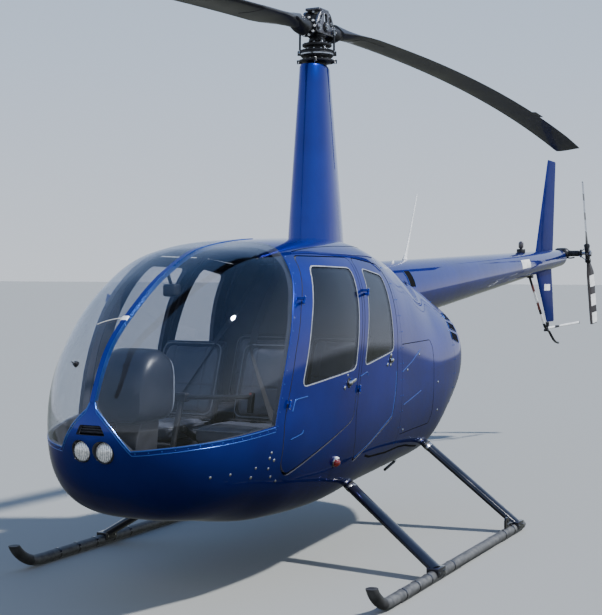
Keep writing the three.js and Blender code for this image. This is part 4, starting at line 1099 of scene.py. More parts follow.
# %% Skids
SHOES = [(-1250, -350), (420, 830)]
STRAP_SPACING = 180
b, z = SKID["bend"], SKID["z"]
SKID_LINE = [(SKID["rear"], z), (0, z), (b + 200, z), (b + 60, z), (b, z), (b - 90, z + 6), (b - 170, z + 40),
             (b - 236, z + 95), (b - 276, z + 165)]
WHEEL_LUG = [(520, z), (590, z), (590, 118), (570, 128), (540, 128), (520, 118)]
WHEEL_HOOK = [(548, 82), (600, 84), (640, 78), (672, 62)]
for label, side in SIDES.items():
    x = side * SKID["x"]
    tube = swept("skid_alloy", smooth_path([(x, *at) for at in SKID_LINE]), circle(0, 0, SKID["r"], 28))
    cut(tube, block("toe_cut", x - 90, x + 90, SKID["tip"] - 90, b, SKID["tip_z"], SKID["tip_z"] + 200))
    coat(tube, "skid_alloy").data.materials.append(FINISH["toe_black"])
    for face in tube.data.polygons:
        face.material_index = int(face.center.y * 1000 + AXIS_TO_MIDDLE < b - 105)
    for y0, y1 in SHOES:
        block("skid_alloy", x - 17, x + 17, y0, y1, 0, 12, 2)
        for y in np.arange(y0 + 40, y1, STRAP_SPACING):
            rod("strut_black", (x, y - 7, z), (x, y + 7, z), SKID["r"] + 1.6, 28)
    lug = prism("strut_black", "yz", rounded(WHEEL_LUG, 8), x - 6, x + 6)
    cut(lug, rod("lug_hole", (x - 20, 555, 104), (x + 20, 555, 104), 9, 20))
    swept("strut_black", smooth_path([(x, *at) for at in WHEEL_HOOK], 6), circle(0, 0, 9, 12))
    fitted(from_tray(f"skid_{label}_tube"), "airframe", "skid_tube", f"skid_{label}")
print("skids 2, shoes", 2 * len(SHOES))

# %% [markdown]
# ## Cabin inside
# Through the clear windshield one sees nearly everything. The floor and the firewall are plain sheets with
# carpet and trim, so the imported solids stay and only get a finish. A console with a rounded vinyl hood
# stands in front of the two front seats, and the stick with its cross bar stands between them.

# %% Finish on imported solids
FLOOR_TOP = 535.4
DRESSED = {"cabin_floor": "carpet_dark", "firewall": "trim_dark"}
for cad_node, finish_name in DRESSED.items():
    for material_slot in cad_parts[cad_node].material_slots:
        material_slot.material = FINISH[finish_name]
print("dressed", *DRESSED)

# %% Console and hood
HOOD_FORWARD = 75
PANEL_Y = -1845 - HOOD_FORWARD
# place along the machine, half width, lowest and highest level
HOOD_STATIONS = [
    (-2110, 40, 985, 1080), (-2107, 92, 950, 1122), (-2096, 128, 938, 1160), (-2070, 147, 933, 1214),
    (-2010, 158, 931, 1262), (-1950, 163, 931, 1282), (-1890, 164, 931, 1280), (-1856, 163, 932, 1262),
    (-1846, 159, 938, 1252),
]
PEDESTAL = [(-2148, FLOOR_TOP), (-1990, FLOOR_TOP), (-1946, 800), (-1926, 945), (-2070, 960), (-2130, 850)]
# across, level and radius of each dial, in rows from the top
DIALS = [(-96, 1190, 36), (-8, 1200, 36), (80, 1190, 36), (-96, 1108, 36), (-8, 1118, 36), (80, 1108, 36),
         (-112, 1034, 24), (-50, 1040, 24), (12, 1040, 24), (74, 1034, 24), (-70, 978, 20), (-8, 978, 20),
         (54, 978, 20)]
RADIO_LEVELS, RADIO_Y, RADIO_SLOPE = (905, 862, 819), -1929, 0.14


def squared_ring(y, half, low, high, square=4.0, count=56):
    c, d = np.array(circle(0, 0, 1, count)).T
    reach = (np.abs(c) ** square + np.abs(d) ** square) ** (-1 / square)
    return np.stack([half * reach * c, np.full(count, y), (low + high) / 2 + (high - low) / 2 * reach * d], 1)


hood = [squared_ring(y - HOOD_FORWARD, half, low, high) for y, half, low, high in HOOD_STATIONS]
lofted("hood_vinyl", hood)
swept("seal_grey", squared_ring(PANEL_Y - 1, 158, 940, 1250), circle(0, 0, 5, 8), up=(0, 1, 0), closed=True)
softened(prism("trim_dark", "yz", rounded(PEDESTAL, 30), -84, 84), 9, 3)
for x, z, r in DIALS:
    bezel = [(r, 0), (r, 5), (r - 2, 7), (r - 6, 5), (r - 6, 0)]
    turned("head_black", bezel, (x, PANEL_Y, z), (0, 1, 0), 28)
    rod("slot_black", (x, PANEL_Y - 3, z), (x, PANEL_Y + 1.5, z), r - 5, 28)
    hand_end = (x + 0.5 * r * math.sin(x), PANEL_Y + 2.4, z + 0.5 * r * math.cos(x))
    bar("white_enamel", oblong(1, 0.8), (x, PANEL_Y + 2.4, z), hand_end)
for level in RADIO_LEVELS:
    rear = RADIO_Y + (level - RADIO_LEVELS[0]) * RADIO_SLOPE
    block("panel_black", -70, 70, rear - 12, rear, level - 17, level + 17, 2)
fitted(from_tray("console_with_hood"), "airframe", "interior_trim", "instrument_console")
print("console dials", len(DIALS))

# %% Stick with its cross bar
STICK_LINE = [(0, -1690, FLOOR_TOP + 8), (0, -1690, 700), (0, -1640, 860), (0, -1585, 1010)]
# level and radius of the rubber boot's folds
BOOT_FOLDS = [(FLOOR_TOP + 0.4, 46), (545, 46), (552, 40), (562, 42), (572, 34), (582, 36), (594, 26),
              (606, 18)]
# across, lower and upper end of each grip
GRIPS = [(-400, 912, 1012), (400, 950, 1050)]
swept("head_black", smooth_path(STICK_LINE), circle(0, 0, 15, 20), up=(1, 0, 0))
lofted("boot_rubber", [[(x, y, z) for x, y in circle(0, -1690, r, 28)] for z, r in BOOT_FOLDS])
rod("head_black", (-400, -1585, 990), (400, -1585, 1030), 12, 20)
block("head_black", -34, 34, -1608, -1562, 988, 1034, 8, 3)
for x, low, high in GRIPS:
    grip_line = smooth_path([(x, -1592, low), (x, -1584, (low + high) / 2), (x, -1570, high)])
    softened(swept("boot_rubber", grip_line, circle(0, 0, 18, 24, 15), up=(1, 0, 0)), 4, 3)
    for k in range(4):
        level = low + 16 + 18 * k
        rod("boot_rubber", (x, -1590 + 4 * k, level), (x, -1589 + 4 * k, level + 4), 18.9, 20)
    rod("red_enamel", (x, -1570, high - 8), (x, -1592, high - 4), 6, 14)
fitted(from_tray("stick_and_cross_bar"), "airframe", "head_steel", "cyclic_stick")
print("grips", len(GRIPS))

# %% [markdown]
# ## Seats
# Four equal seats stand on closed boxes. A seat has a thick cushion on its box and a back that leans aft on
# a thin board, both covered in grey leather with piping round the edge and sewn channels. A cushion swells
# like a tyre when it is stuffed, so one cushion and one back are blown up as cloth by simulation, with
# their movement capped, and the other seats take copies. The channels are pressed in after that, because
# remeshing erases them.

# %% Leather
FINISH["seat_leather"] = finish("seat_leather", (0.050, 0.056, 0.075), (0.074, 0.080, 0.100), (0.42, 0.56), 0,
                                9, 330, 0.5, 0.0008, sheen=0.15)
FINISH["seat_piping"] = finish("seat_piping", (0.10, 0.11, 0.13), (0.15, 0.16, 0.18), (0.35, 0.5), 0, 40, 500,
                               0.2, 0.0004)
FINISH["belt_webbing"] = finish("belt_webbing", (0.012, 0.012, 0.014), (0.030, 0.030, 0.034), (0.7, 0.85), 0,
                                90, 1400, 0.6, 0.0006, stretch=(1, 6, 1))
print("finishes", len(FINISH))

# %% A cushion blown up as cloth
X, Y, Z = np.eye(3)
PAD_OUTLINE = oblong(0.5, 0.5, 0.14, 8)
# share of the thickness, and how far the outline draws in
PAD_LEVELS = [(-0.5, 12), (-0.44, 4), (-0.3, 0), (0.3, 0), (0.44, 4), (0.5, 12)]
VOXEL, FRAMES = 0.009, 20
CHANNEL_DEEP, CHANNEL_WIDE = 5.0, 5.0


def pad_line(pad, grow, level):
    """The outline of a pad, larger by grow, at a share of its thickness."""
    width, length, thick = pad["size"]
    middle = pad["centre"] + pad["up"] * (level * thick)
    return [middle + X * (u * (width + grow)) + pad["along"] * (v * (length + grow)) for u, v in PAD_OUTLINE]


def blown(obj, most):
    remesh = obj.modifiers.new("remesh", "REMESH")
    remesh.mode, remesh.voxel_size = "VOXEL", VOXEL
    apply_modifiers(obj)
    before = read(obj.data.vertices, "co", 3)
    cloth = obj.modifiers.new("cloth", "CLOTH")
    cloth.settings.use_pressure = True
    cloth.settings.uniform_pressure_force = 4
    cloth.settings.quality = 4
    cloth.settings.effector_weights.gravity = 0
    cloth.point_cache.frame_start, cloth.point_cache.frame_end = 1, FRAMES
    for step in range(1, FRAMES + 1):
        bpy.context.scene.frame_set(step)
    apply_modifiers(obj)
    bpy.context.scene.frame_set(1)
    move = read(obj.data.vertices, "co", 3) - before
    move *= np.minimum(1, most / np.maximum(np.linalg.norm(move, axis=1), 1e-9))[:, None]
    obj.data.vertices.foreach_set("co", (before + move).ravel())
    obj.modifiers.new("smooth", "SUBSURF").levels = 1
    return apply_modifiers(obj)


def channelled(obj, pad):
    p = read(obj.data.vertices, "co", 3)
    local = (p - metres([pad["centre"]])[0]) * 1000
    u, v, w = (local @ axis for axis in (X, pad["along"], pad["up"]))
    dip = sum(np.exp(-(((u, v)[way] - at) / CHANNEL_WIDE) ** 2) for way, at in pad["channels"])
    p -= np.outer(dip * CHANNEL_DEEP * np.clip(w / 20, 0, 1), pad["up"]) / 1000
    obj.data.vertices.foreach_set("co", p.ravel())
    return obj


# %% Two master pads
SEAT_X, BACK_X = 270, 257
SEAT_ROWS = {"front": -1610, "rear": -756}
SEAT_Y = SEAT_ROWS["front"]
LEAN = math.atan2(548 - 405, 715 - 312)
BACK_UP, BACK_FACE = np.array([[0, math.sin(LEAN), math.cos(LEAN)], [0, -math.cos(LEAN), math.sin(LEAN)]])
# middle, width, length and thickness, its axes, how far it may swell, and its channels, which run across (0)
# or along (1)
PADS = {
    "cushion": {"centre": np.array([SEAT_X, SEAT_Y + 222, FLOOR_TOP + 284]), "size": (426, 428, 66),
                "along": Y, "up": Z, "swell": 0.013, "channels": [(0, -118), (0, 118), (1, 60)]},
    "back": {"centre": np.array([BACK_X, SEAT_Y + 524, FLOOR_TOP + 524]), "size": (360, 394, 56),
             "along": BACK_UP, "up": BACK_FACE, "swell": 0.012, "channels": [(0, -98), (0, 98), (1, -40)]},
}
masters = {}
for kind, pad in PADS.items():
    solid = lofted(f"seat_{kind}", [pad_line(pad, -2 * inset, level) for level, inset in PAD_LEVELS])
    masters[kind] = coat(shade(channelled(blown(solid, pad["swell"]), pad), 80), "seat_leather")
    print(kind, len(solid.data.polygons), "faces")

# %% Boxes, boards, belts and piping
y, z = SEAT_Y, FLOOR_TOP
SEAT_BOX = [(y, z + 0.4), (y + 466, z + 0.4), (y + 488, z + 236), (y - 8, z + 236)]
SEAT_BOARD = [(y + 474, z + 240), (y + 632, z + 712), (y + 606, z + 738), (y + 560, z + 700),
              (y + 428, z + 262)]
LAP_BELT = [(236, y + 440, z + 250), (224, y + 400, z + 322), (130, y + 350, z + 337), (20, y + 326, z + 336)]
softened(prism("trim_dark", "yz", rounded(SEAT_BOX, 14), SEAT_X - 226, SEAT_X + 226), 6)
softened(prism("hood_vinyl", "yz", rounded(SEAT_BOARD, 18), BACK_X - 190, BACK_X + 190), 12, 4)
block("head_black", SEAT_X - 26, SEAT_X + 26, y + 300, y + 352, z + 326, z + 340, 5)
for side in (-1, 1):
    hinge_x = BACK_X + side * 196
    bar("head_black", oblong(14, 4, 3), (hinge_x, y + 430, z + 236), (hinge_x, y + 512, z + 470))
    lap = smooth_path([(SEAT_X + side * u, v, w) for u, v, w in LAP_BELT], 6)
    swept("belt_webbing", lap, oblong(20, 1))
for pad in PADS.values():
    swept("seat_piping", pad_line(pad, 9, 0.46), circle(0, 0, 3.6, 8), up=tuple(pad["up"]), closed=True)
masters["frame"] = from_tray("seat_master")

# %% The four seats
SEAT_SLOTS = {"frame": "interior_trim", "cushion": "seat_leather", "back": "seat_leather"}
for row, y in SEAT_ROWS.items():
    for label, side in SIDES.items():
        for kind, slot_name in SEAT_SLOTS.items():
            piece = copy_of(masters[kind], f"seat_{row}_{label}_{kind}")
            if side < 0:
                piece.data.transform(Matrix.Scale(-1, 4, (1, 0, 0)))
                piece.data.flip_normals()
            piece.data.transform(Matrix.Translation((0, (y - SEAT_Y) / 1000, 0)))
            fitted(piece, "airframe", slot_name, f"seat_{row}_{label}", angle=None)
for master in masters.values():
    bpy.data.objects.remove(master)
print("seats", len(SEAT_ROWS) * len(SIDES))

# %% [markdown]
# ## Belts, pedals, lever and compass
# Each front seat has a shoulder belt that runs up and aft to the roof between the rear seats. Two pairs of
# pedals stand at the front, a collective lever lies between the seats, and the compass hangs from the
# windshield's strip.

# %% Belts, pedals, collective lever, compass
SHOULDER_BELT = [(330, -1208, 872), (250, -1150, 1010), (150, -1078, 1190), (112, -1020, 1290), 
                 (84, -880, 1420), (52, -560, 1716)]
for label, side in SIDES.items():
    swept("belt_webbing", smooth_path([(side * x, y, z) for x, y, z in SHOULDER_BELT]), oblong(20, 1))
    block("head_black", side * 52 - 34, side * 52 + 34, -600, -520, 1700, 1792, 10, 3)
    fitted(from_tray(f"shoulder_belt_{label}"), "airframe", "interior_trim")
PEDAL_X = [-302, -178, 178, 302]
for x in PEDAL_X:
    arm = smooth_path([(x, -2000, FLOOR_TOP), (x, -2036, 590), (x, -2022, 690)], 6)
    swept("head_black", arm, circle(0, 0, 7, 12), up=(1, 0, 0))
    bar("boot_rubber", oblong(40, 5, 4), (x, -2016, 640), (x, -2002, 706), (1, 0, 0))
fitted(from_tray("rudder_pedals"), "airframe", "interior_trim")
LEVER_LINE = [(-8, -1180, 640), (-10, -1300, 712), (-10, -1450, 792), (-10, -1520, 826)]
swept("head_black", smooth_path(LEVER_LINE, 6), circle(0, 0, 10, 16))
softened(rod("boot_rubber", (-10, -1436, 785), (-10, -1556, 845), 17, 20), 4)
block("head_black", -30, 10, -1586, -1548, 828, 866, 8, 3)
block("trim_dark", -32, 32, -1490, -1130, FLOOR_TOP, 652, 10, 3)
fitted(from_tray("collective_lever"), "airframe", "interior_trim")
block("head_black", -38, 38, -1718, -1650, 1526, 1590, 14, 4)
turned("bare_steel", [(26, 0), (26, 6), (20, 6), (20, 0)], (0, -1651, 1558), (0, 1, 0), 28)
rod("slot_black", (0, -1654, 1558), (0, -1648, 1558), 21, 28)
softened(bar("head_black", oblong(9, 6, 3), (0, -1690, 1586), (0, -1720, 1640)), 2)
fitted(from_tray("compass_unit"), "airframe", "interior_trim")
print("belts 2, pedals", len(PEDAL_X))

# %% [markdown]
# ## Rotor head
# The two blades hang on a teetering hub. Two cheek plates with lightening holes stand either side of the
# shaft's top, the teeter bolt goes through both, and a second bolt at each end carries a blade's root.
# Below it the swashplate turns with the shaft and two links drive the blades' pitch arms. It is drawn with
# its blades along Y and then turned with them to where they stand.

# %% Turning with the blades, bolts and bolt rings
ROTOR = {"radius": 5030, "chord": 254, "hub_z": 3165, "top_z": 3280, "azimuth": 2.7, "tilt": 1.15,
         "droop": 413}
HUB_Z = ROTOR["hub_z"]
TILT = math.sin(math.radians(ROTOR["tilt"]))


def turned_with_blades(obj):
    middle = Vector(metres([(0, 0, 0)])[0])
    turn_by = Matrix.Rotation(math.radians(-ROTOR["azimuth"]), 4, "Z")
    obj.data.transform(Matrix.Translation(middle) @ turn_by @ Matrix.Translation(-middle))
    return obj


def bolted(start, end, radius, finish_name="bare_steel"):
    """A bolt shank with a six-sided head and nut, and a washer under each."""
    start, end = np.array(start, float), np.array(end, float)
    along = (end - start) / np.linalg.norm(end - start)
    rod(finish_name, start, end, radius * 0.62, 20)
    for at, out in ((start, along), (end, -along)):
        rod(finish_name, at + out * 6, at + out * 9, radius * 1.35)
        rod(finish_name, at, at + out * 6.5, radius, 6)


# %% Cheek plates, bolts and the hub's middle
CHEEK = rounded([(-118, 3122), (118, 3122), (122, 3168), (64, 3252), (26, 3266), (-26, 3266), (-64, 3252),
                 (-122, 3168)], 18)
CHEEK_HOLES = [
    [(-96, 3180), (-62, 3180), (-42, 3236), (-60, 3240)],
    [(96, 3180), (62, 3180), (42, 3236), (60, 3240)],
    [(-26, 3196), (26, 3196), (18, 3246), (-18, 3246)],
]
for side in (-1, 1):
    inner, outer = sorted((side * 43, side * 59))
    plate = prism("hub_grey", "yz", CHEEK, inner, outer)
    cut(plate, *(prism("cheek_hole", "yz", rounded(hole, 14), inner - 5, outer + 5) for hole in CHEEK_HOLES))
    softened(plate, 1.6)
    # thin bright steel lines round each plate and its holes, a painted highlight on the edges
    for outline in [CHEEK] + [rounded(grown(hole, 1.5), 14) for hole in CHEEK_HOLES]:
        edge = [(side * 59.4, v, w) for v, w in outline]
        swept("bare_steel", edge, circle(0, 0, 1.7, 6), up=(1, 0, 0), closed=True)
    rod("head_black", (side * 40, 0, 3168), (side * 66, 0, 3168), 30, 28)
for z0, z1, half_u, half_v in ((3140, 3210, 34, 58), (3212, 3246, 26, 40)):
    block("head_black", -half_u, half_u, -half_v, half_v, z0, z1, 8, 3)
block("hub_grey", -50, 50, -66, 66, 3262, ROTOR["top_z"], 7, 3)
for v in (-46, 46):
    bolted((0, v, 3252), (0, v, ROTOR["top_z"]), 8)
bolted((-78, 0, 3168), (78, 0, 3168), 16)
for v in (-92, 92):
    bolted((-76, v, HUB_Z - 14), (76, v, HUB_Z - 14), 14)
    for side in (-1, 1):
        bolted((side * 38, v * 0.8, 3196), (side * 66, v * 0.8, 3196), 7)
BORE = SHAFT_R + 0.4
turned("head_black", [(BORE, 3100), (46, 3100), (58, 3112), (58, 3141), (BORE, 3141)], (0, 0, 0), sides=48)
print("cheek plates 2, holes", 2 * len(CHEEK_HOLES))

# %% Blade roots with their flange and pitch arm
# distance along the blade, half width, half height, level above the hub's plane
ROOT = [(98, 34, 30, -10), (126, 42, 40, -12), (150, 46, 46, -14), (185, 55, 54, -17), (225, 56, 48, -14),
        (270, 55, 32, -6), (330, 66, 21, 0), (380, 80, 13, 2)]
FLANGE = [(30, 0), (63, 0), (64, 3), (64, 9), (30, 9)]
PITCH_ARM = [(30, 140, 3146), (66, 104, 3144), (90, 56, 3148)]
for way in (1, -1):
    rings = []
    for along, wide, tall, lift in ROOT:
        level = HUB_Z + way * TILT * along + lift
        rings.append([(x, way * along, z) for x, z in circle(0, level, wide, 36, tall)])
    lofted("head_black", rings)
    turned("head_black", FLANGE, (0, way * 122, HUB_Z - 12), (0, way, 0), 40)
    for x, z in circle(0, HUB_Z - 12, 55, 10, first=0):
        rod("white_enamel", (x, way * 129, z), (x, way * 141, z), 7, 8)
    swept("head_black", smooth_path([(way * x, way * y, z) for x, y, z in PITCH_ARM], 6), oblong(9, 7, 3))
    bolted((way * 90, way * 54, 3134), (way * 90, way * 54, 3162), 8)
fitted(turned_with_blades(from_tray("rotor_head")), "main_rotor", "head_steel", "main_rotor_hub")
print("blade roots 2")

# %% Shaft, turning swashplate and links
SWASHPLATE = [(BORE, 2984), (94, 2984), (99, 2988), (104, 2994), (104, 3006), (99, 3010), (99, 3016),
              (103, 3020), (103, 3026), (68, 3031), (64, 3038), (66, 3046), (90, 3050), (92, 3054),
              (92, 3062), (88, 3066), (62, 3072), (BORE, 3074)]
SWASH_BAND = [(103.6, 2996), (105, 2996), (105, 3003), (103.6, 3003)]
COLLAR = [(BORE, 3078), (47, 3078), (51, 3082), (51, 3094), (47, 3097), (BORE, 3097)]
ROD_END = [(5, -6), (12, -6), (12, 6), (5, 6)]
softened(rod("bare_steel", (0, 0, 2700), (0, 0, 3135), SHAFT_R, 48), 2)
fitted(from_tray("shaft_tube"), "main_rotor", "head_steel", "rotor_shaft")
for finish_name, profile, sides in (("head_black", SWASHPLATE, 64), ("bare_steel", SWASH_BAND, 64),
                                    ("head_black", COLLAR, 48)):
    turned(finish_name, profile, (0, 0, 0), sides=sides)
for c, s in circle(0, 0, 1, 12):
    rod("bare_steel", (84 * c, 84 * s, 3024), (84 * c, 84 * s, 3033), 5, 6)
    rod("bare_steel", (78 * c, 78 * s, 3062), (78 * c, 78 * s, 3072), 4, 6)
for way in (1, -1):
    foot, top = (way * 92, way * 52, 3008), (way * 90, way * 54, 3148)
    bar("head_black", oblong(14, 8, 4), (way * 60, way * 30, 3006), (way * 104, way * 60, 3008), (0, 0, 1))
    rod("head_black", foot, top, 6.5, 16)
    for level in (3014, 3120):
        rod("bare_steel", (*foot[:2], level), (*foot[:2], level + 12), 9.5, 6)
    for at in (foot, top):
        turned("bare_steel", ROD_END, at, (way, 0, 0), 20)
    rod("bare_steel", (way * 84, way * -34, 3010), (way * 50, way * -40, 3090), 5, 12)
    block("head_black", *sorted((way * 42, way * 60)), *sorted((way * -26, way * -56)), 3084, 3098, 3)
links = turned_with_blades(from_tray("swashplate_and_links"))
fitted(links, "main_rotor", "head_steel", "swashplate_rotating")
print("pitch links 2")

# %% Fixed swashplate
FIXED_PLATE = [(CLEAR_R, 2926.4), (62, 2926.4), (62, 2944), (72, 2948), (108, 2952), (112, 2956), (112, 2964),
               (106, 2967), (60, 2970), (58, 2978), (CLEAR_R, 2978)]
turned("head_black", FIXED_PLATE, (0, 0, 0), sides=64)
for c, s in circle(0, 0, 1, 4, first=20 / 90):
    bar("head_black", oblong(12, 6, 4), (90 * c, 90 * s, 2958), (124 * c, 124 * s, 2956), (0, 0, 1))
    rod("white_enamel", (116 * c, 116 * s, 2946), (104 * c, 104 * s, 2970), 7, 14)
for x, y in circle(0, 0, 96, 16, first=0):
    rod("bare_steel", (x, y, 2964), (x, y, 2971), 3.6, 6)
fitted(from_tray("swashplate_below"), "airframe", "head_steel", "swashplate_fixed")
print("push rods 4")

# %% [markdown]
# ## Main blades
# A blade is a long aluminium skin of one aerofoil, twisted a few degrees from root to tip, with a swept
# tip. It droops under its own weight when it stands still. A bonded doubler thickens the root, a strip of
# steel wraps the leading edge and a small trim tab sits far out on the trailing edge.

# %% Aerofoil, stations and blades
AEROFOIL = [(0, 0), (0.008, 0.018), (0.03, 0.031), (0.08, 0.047), (0.16, 0.060), (0.27, 0.065), (0.4, 0.062),
            (0.55, 0.049), (0.7, 0.034), (0.85, 0.018), (1, 0.003), (1, -0.003), (0.85, -0.013),
            (0.7, -0.026), (0.55, -0.038), (0.4, -0.046), (0.27, -0.048), (0.16, -0.045), (0.08, -0.036),
            (0.03, -0.024), (0.008, -0.014)]
PIVOT = 0.3
# radius, chord, thickness times the section's, pitch in degrees, how far the rear lags
BLADE_STATIONS = np.array([
    (230, 104, 3.4, 4, 0), (330, 190, 2.6, 4, 0), (430, 236, 1.7, 4, 0), (520, 254, 1.25, 4, 0),
    (900, 254, 1.05, 3.6, 0), (1300, 254, 1, 3, 0), (2200, 254, 1, 2, 0), (3100, 254, 1, 1, 0),
    (3900, 254, 1, 0, 0), (4550, 254, 1, -1, 0), (5000, 254, 0.92, -1.9, -66), (5024, 250, 0.7, -2, -74),
    (5030, 244, 0.3, -2, -75),
], float)


def blade_rings(way, grow=0.0, first=230, last=5030, part=1, steps=46):
    """Sections between two radii, grown by so much, over the front part of the chord."""
    known = BLADE_STATIONS[:, 0]
    between_ends = known[(known > first) & (known < last)]
    radii = np.unique(np.concatenate([np.linspace(first, last, steps), between_ends]))
    rings = []
    for radius in radii:
        chord, thick, pitch, lag = (np.interp(radius, known, column) for column in BLADE_STATIONS.T[1:])
        c, s = math.cos(math.radians(pitch)), math.sin(math.radians(pitch))
        level = HUB_Z + way * TILT * radius - ROTOR["droop"] * (radius / ROTOR["radius"]) ** 2.2
        ring = []
        for along, rise_part in (place for place in AEROFOIL if place[0] <= part):
            behind = (along - PIVOT) * chord - (grow if along < 0.02 else 0)
            rise = rise_part * ROTOR["chord"] * thick + (math.copysign(grow, rise_part) if along > 0 else 0)
            x, z = way * (behind * c + rise * s), level + rise * c - behind * s
            ring.append((x, way * (radius + along * lag), z))
        rings.append(ring)
    return rings


for name, way in (("main_blade_aft", 1), ("main_blade_forward", -1)):
    lofted("blade_charcoal", blade_rings(way))
    lofted("head_black", blade_rings(way, 0.7, 560, 4980, 0.09))
    lofted("blade_charcoal", blade_rings(way, 1.6, 420, 760, 0.7, 6))
    tab = []
    for ring in blade_rings(way, 0, 3560, 3760, steps=4):
        upper, lower = np.array(ring[10]), np.array(ring[11])
        tab.append([upper, lower, lower + [way * 34, 0, -2], upper + [way * 34, 0, -2]])
    lofted("blade_charcoal", tab)
    fitted(turned_with_blades(from_tray(name + "_skin")), "main_rotor", "blade_skin", name, angle=32)
print("blades 2, radius", ROTOR["radius"], "mm")

# %% [markdown]
# ## Tail rotor and its gearbox
# A cast gearbox closes the cone and holds the tail rotor out to the left. Its two blades are painted in
# black and white bands so that the spinning disc is seen. The bands leave the black strip on the leading
# edge bare, so the paint is given face by face: a loft knows the radius and the part of the chord of each
# of its faces.

# %% Gearbox
TAIL_ROTOR = {"x": 262, "y": 5893, "z": 1880, "radius": 736.5, "chord": 130, "pitch": 20, "lean": 10.2,
              "teeter": 2.1}
HUB = (TAIL_ROTOR["x"], TAIL_ROTOR["y"], TAIL_ROTOR["z"])
CASE = [(20, 0), (46, 0), (47, 22), (44, 30), (41, 60), (46, 92), (47.5, 128), (40, 160), (26, 174),
        (20, 175)]
HOUSING = [(18, -62), (50, -62), (56, -54), (58, -20), (58, 24), (54, 48), (44, 62), (34, 70), (30, 96),
           (30, 172), (26, 176), (18, 176)]
turned("head_black", CASE, (0, 5790, 1846), (0, 175, 16), 40)
rod("head_black", (0, 5792, 1846), (0, 5960, 1861), 22, 20)
turned("head_black", HOUSING, (0, *HUB[1:]), (1, 0, 0), 40)
rod("head_black", (-60, *HUB[1:]), (118, *HUB[1:]), 19, 20)
for y, z in circle(*HUB[1:], 48, 8):
    rod("bare_steel", (-68, y, z), (-60, y, z), 5, 6)
for x, z in circle(0, 1847, 40, 6, first=0):
    rod("bare_steel", (x, 5800, z), (x, 5815, z), 5.5, 6)
for y, z in ((5840, 1897), (5862, 1800)):
    rod("bare_steel", (-8, y, z - 6), (-8, y, z + 8), 12, 6)
crank = smooth_path([(58, 5840, 1838), (96, 5838, 1832), (140, 5852, 1838)], 6)
swept("head_black", crank, circle(0, 0, 7, 12))
fitted(from_tray("tail_gear_case"), "airframe", "head_steel", "tail_gearbox")
print("gearbox at", HUB[1], "mm")

# %% Hub and links
LEAN_TURN = math.radians(TAIL_ROTOR["lean"])
TEETER = math.sin(math.radians(TAIL_ROTOR["teeter"]))
HUB_NUT = [(6, 20), (29, 20), (30, 24), (30, 38), (24, 43), (6, 43)]
PITCH_DISC = [(16, -80), (22, -82), (42, -72), (42, -62), (30, -58), (16, -56)]
BLADE_GRIP = [(8, 58), (26, 58), (29, 62), (29, 84), (25, 96), (8, 96)]
LINK_END = [(3, -5), (9, -5), (9, 5), (3, 5)]


def on_tail_rotor(u, v, x=0.0):
    """u across the blades, v along them, x out from the hub's middle."""
    c, s = math.cos(LEAN_TURN), math.sin(LEAN_TURN)
    return HUB[0] + x - v * TEETER, HUB[1] + u * c - v * s, HUB[2] + v * c + u * s


rod("bare_steel", (120.6, *HUB[1:]), (HUB[0] + 38, *HUB[1:]), 15.6, 28)
turned("bare_steel", HUB_NUT, HUB, (1, 0, 0), 6)
turned("head_black", PITCH_DISC, HUB, (1, 0, 0), 36)
softened(bar("head_black", oblong(34, 20, 10, 3), on_tail_rotor(0, -88), on_tail_rotor(0, 88), (0, 1, 0)), 3)
for end in (1, -1):
    outwards = np.array(on_tail_rotor(0, end)) - on_tail_rotor(0, 0)
    turned("head_black", BLADE_GRIP, on_tail_rotor(0, 0), outwards, 28)
    link_ends = on_tail_rotor(end * 34, end * 18, -70), on_tail_rotor(end * 44, end * 62, -8)
    rod("bare_steel", *link_ends, 5, 12)
    rod("head_black", on_tail_rotor(end * 18, end * 62, -6), on_tail_rotor(end * 52, end * 62, -6), 8, 14)
    for at in link_ends:
        turned("bare_steel", LINK_END, at, (0, 1, 0), 16)
    bolted(on_tail_rotor(0, end * 84, -30), on_tail_rotor(0, end * 84, 30), 8)
bolted(on_tail_rotor(-40, 0), on_tail_rotor(40, 0), 9)
fitted(from_tray("tail_hub"), "tail_rotor", "head_steel", "tail_rotor_hub")
print("tail rotor links 2")

# %% Banded blades
# radius, chord, thickness times the section's
TAIL_STATIONS = np.array([(97.2, 62, 2), (120, 76, 1.8), (150, 96, 1.5), (205, 130, 1), (700, 130, 0.9),
                          (736.5, 116, 0.8)])
WHITE_BANDS = [(232, 350), (428, 548), (618, 729)]
TIP_STOPS, TIP_FROM, BARE_EDGE = {728, 733}, 730, 0.3
stops = sorted({r for r, _, _ in TAIL_STATIONS} | {edge for band in WHITE_BANDS for edge in band} | TIP_STOPS)
c, s = math.cos(math.radians(TAIL_ROTOR["pitch"])), math.sin(math.radians(TAIL_ROTOR["pitch"]))
around = len(AEROFOIL)
for name, end in (("tail_blade_lower", -1), ("tail_blade_upper", 1)):
    rings = []
    for radius in stops:
        chord, thick = (np.interp(radius, TAIL_STATIONS[:, 0], column) for column in TAIL_STATIONS.T[1:])
        thick *= TAIL_ROTOR["chord"] * (0.7 if radius > TIP_FROM else 1)
        ring = []
        for along, rise_part in AEROFOIL:
            back, rise = (along - PIVOT) * chord, rise_part * thick
            ring.append(on_tail_rotor(-end * (back * c - rise * s), end * radius, back * s + rise * c))
        rings.append(ring)
    blade = coat(lofted(name + "_skin", rings), "band_black")
    blade.data.materials.append(FINISH["white_enamel"])
    for face in blade.data.polygons[: (len(stops) - 1) * around]:
        ring, i = divmod(face.index, around)
        radius = (stops[ring] + stops[ring + 1]) / 2
        along = (AEROFOIL[i][0] + AEROFOIL[(i + 1) % around][0]) / 2
        face.material_index = int(any(low < radius < high for low, high in WHITE_BANDS) and along > BARE_EDGE)
    fitted(blade, "tail_rotor", "blade_skin", name, angle=32)
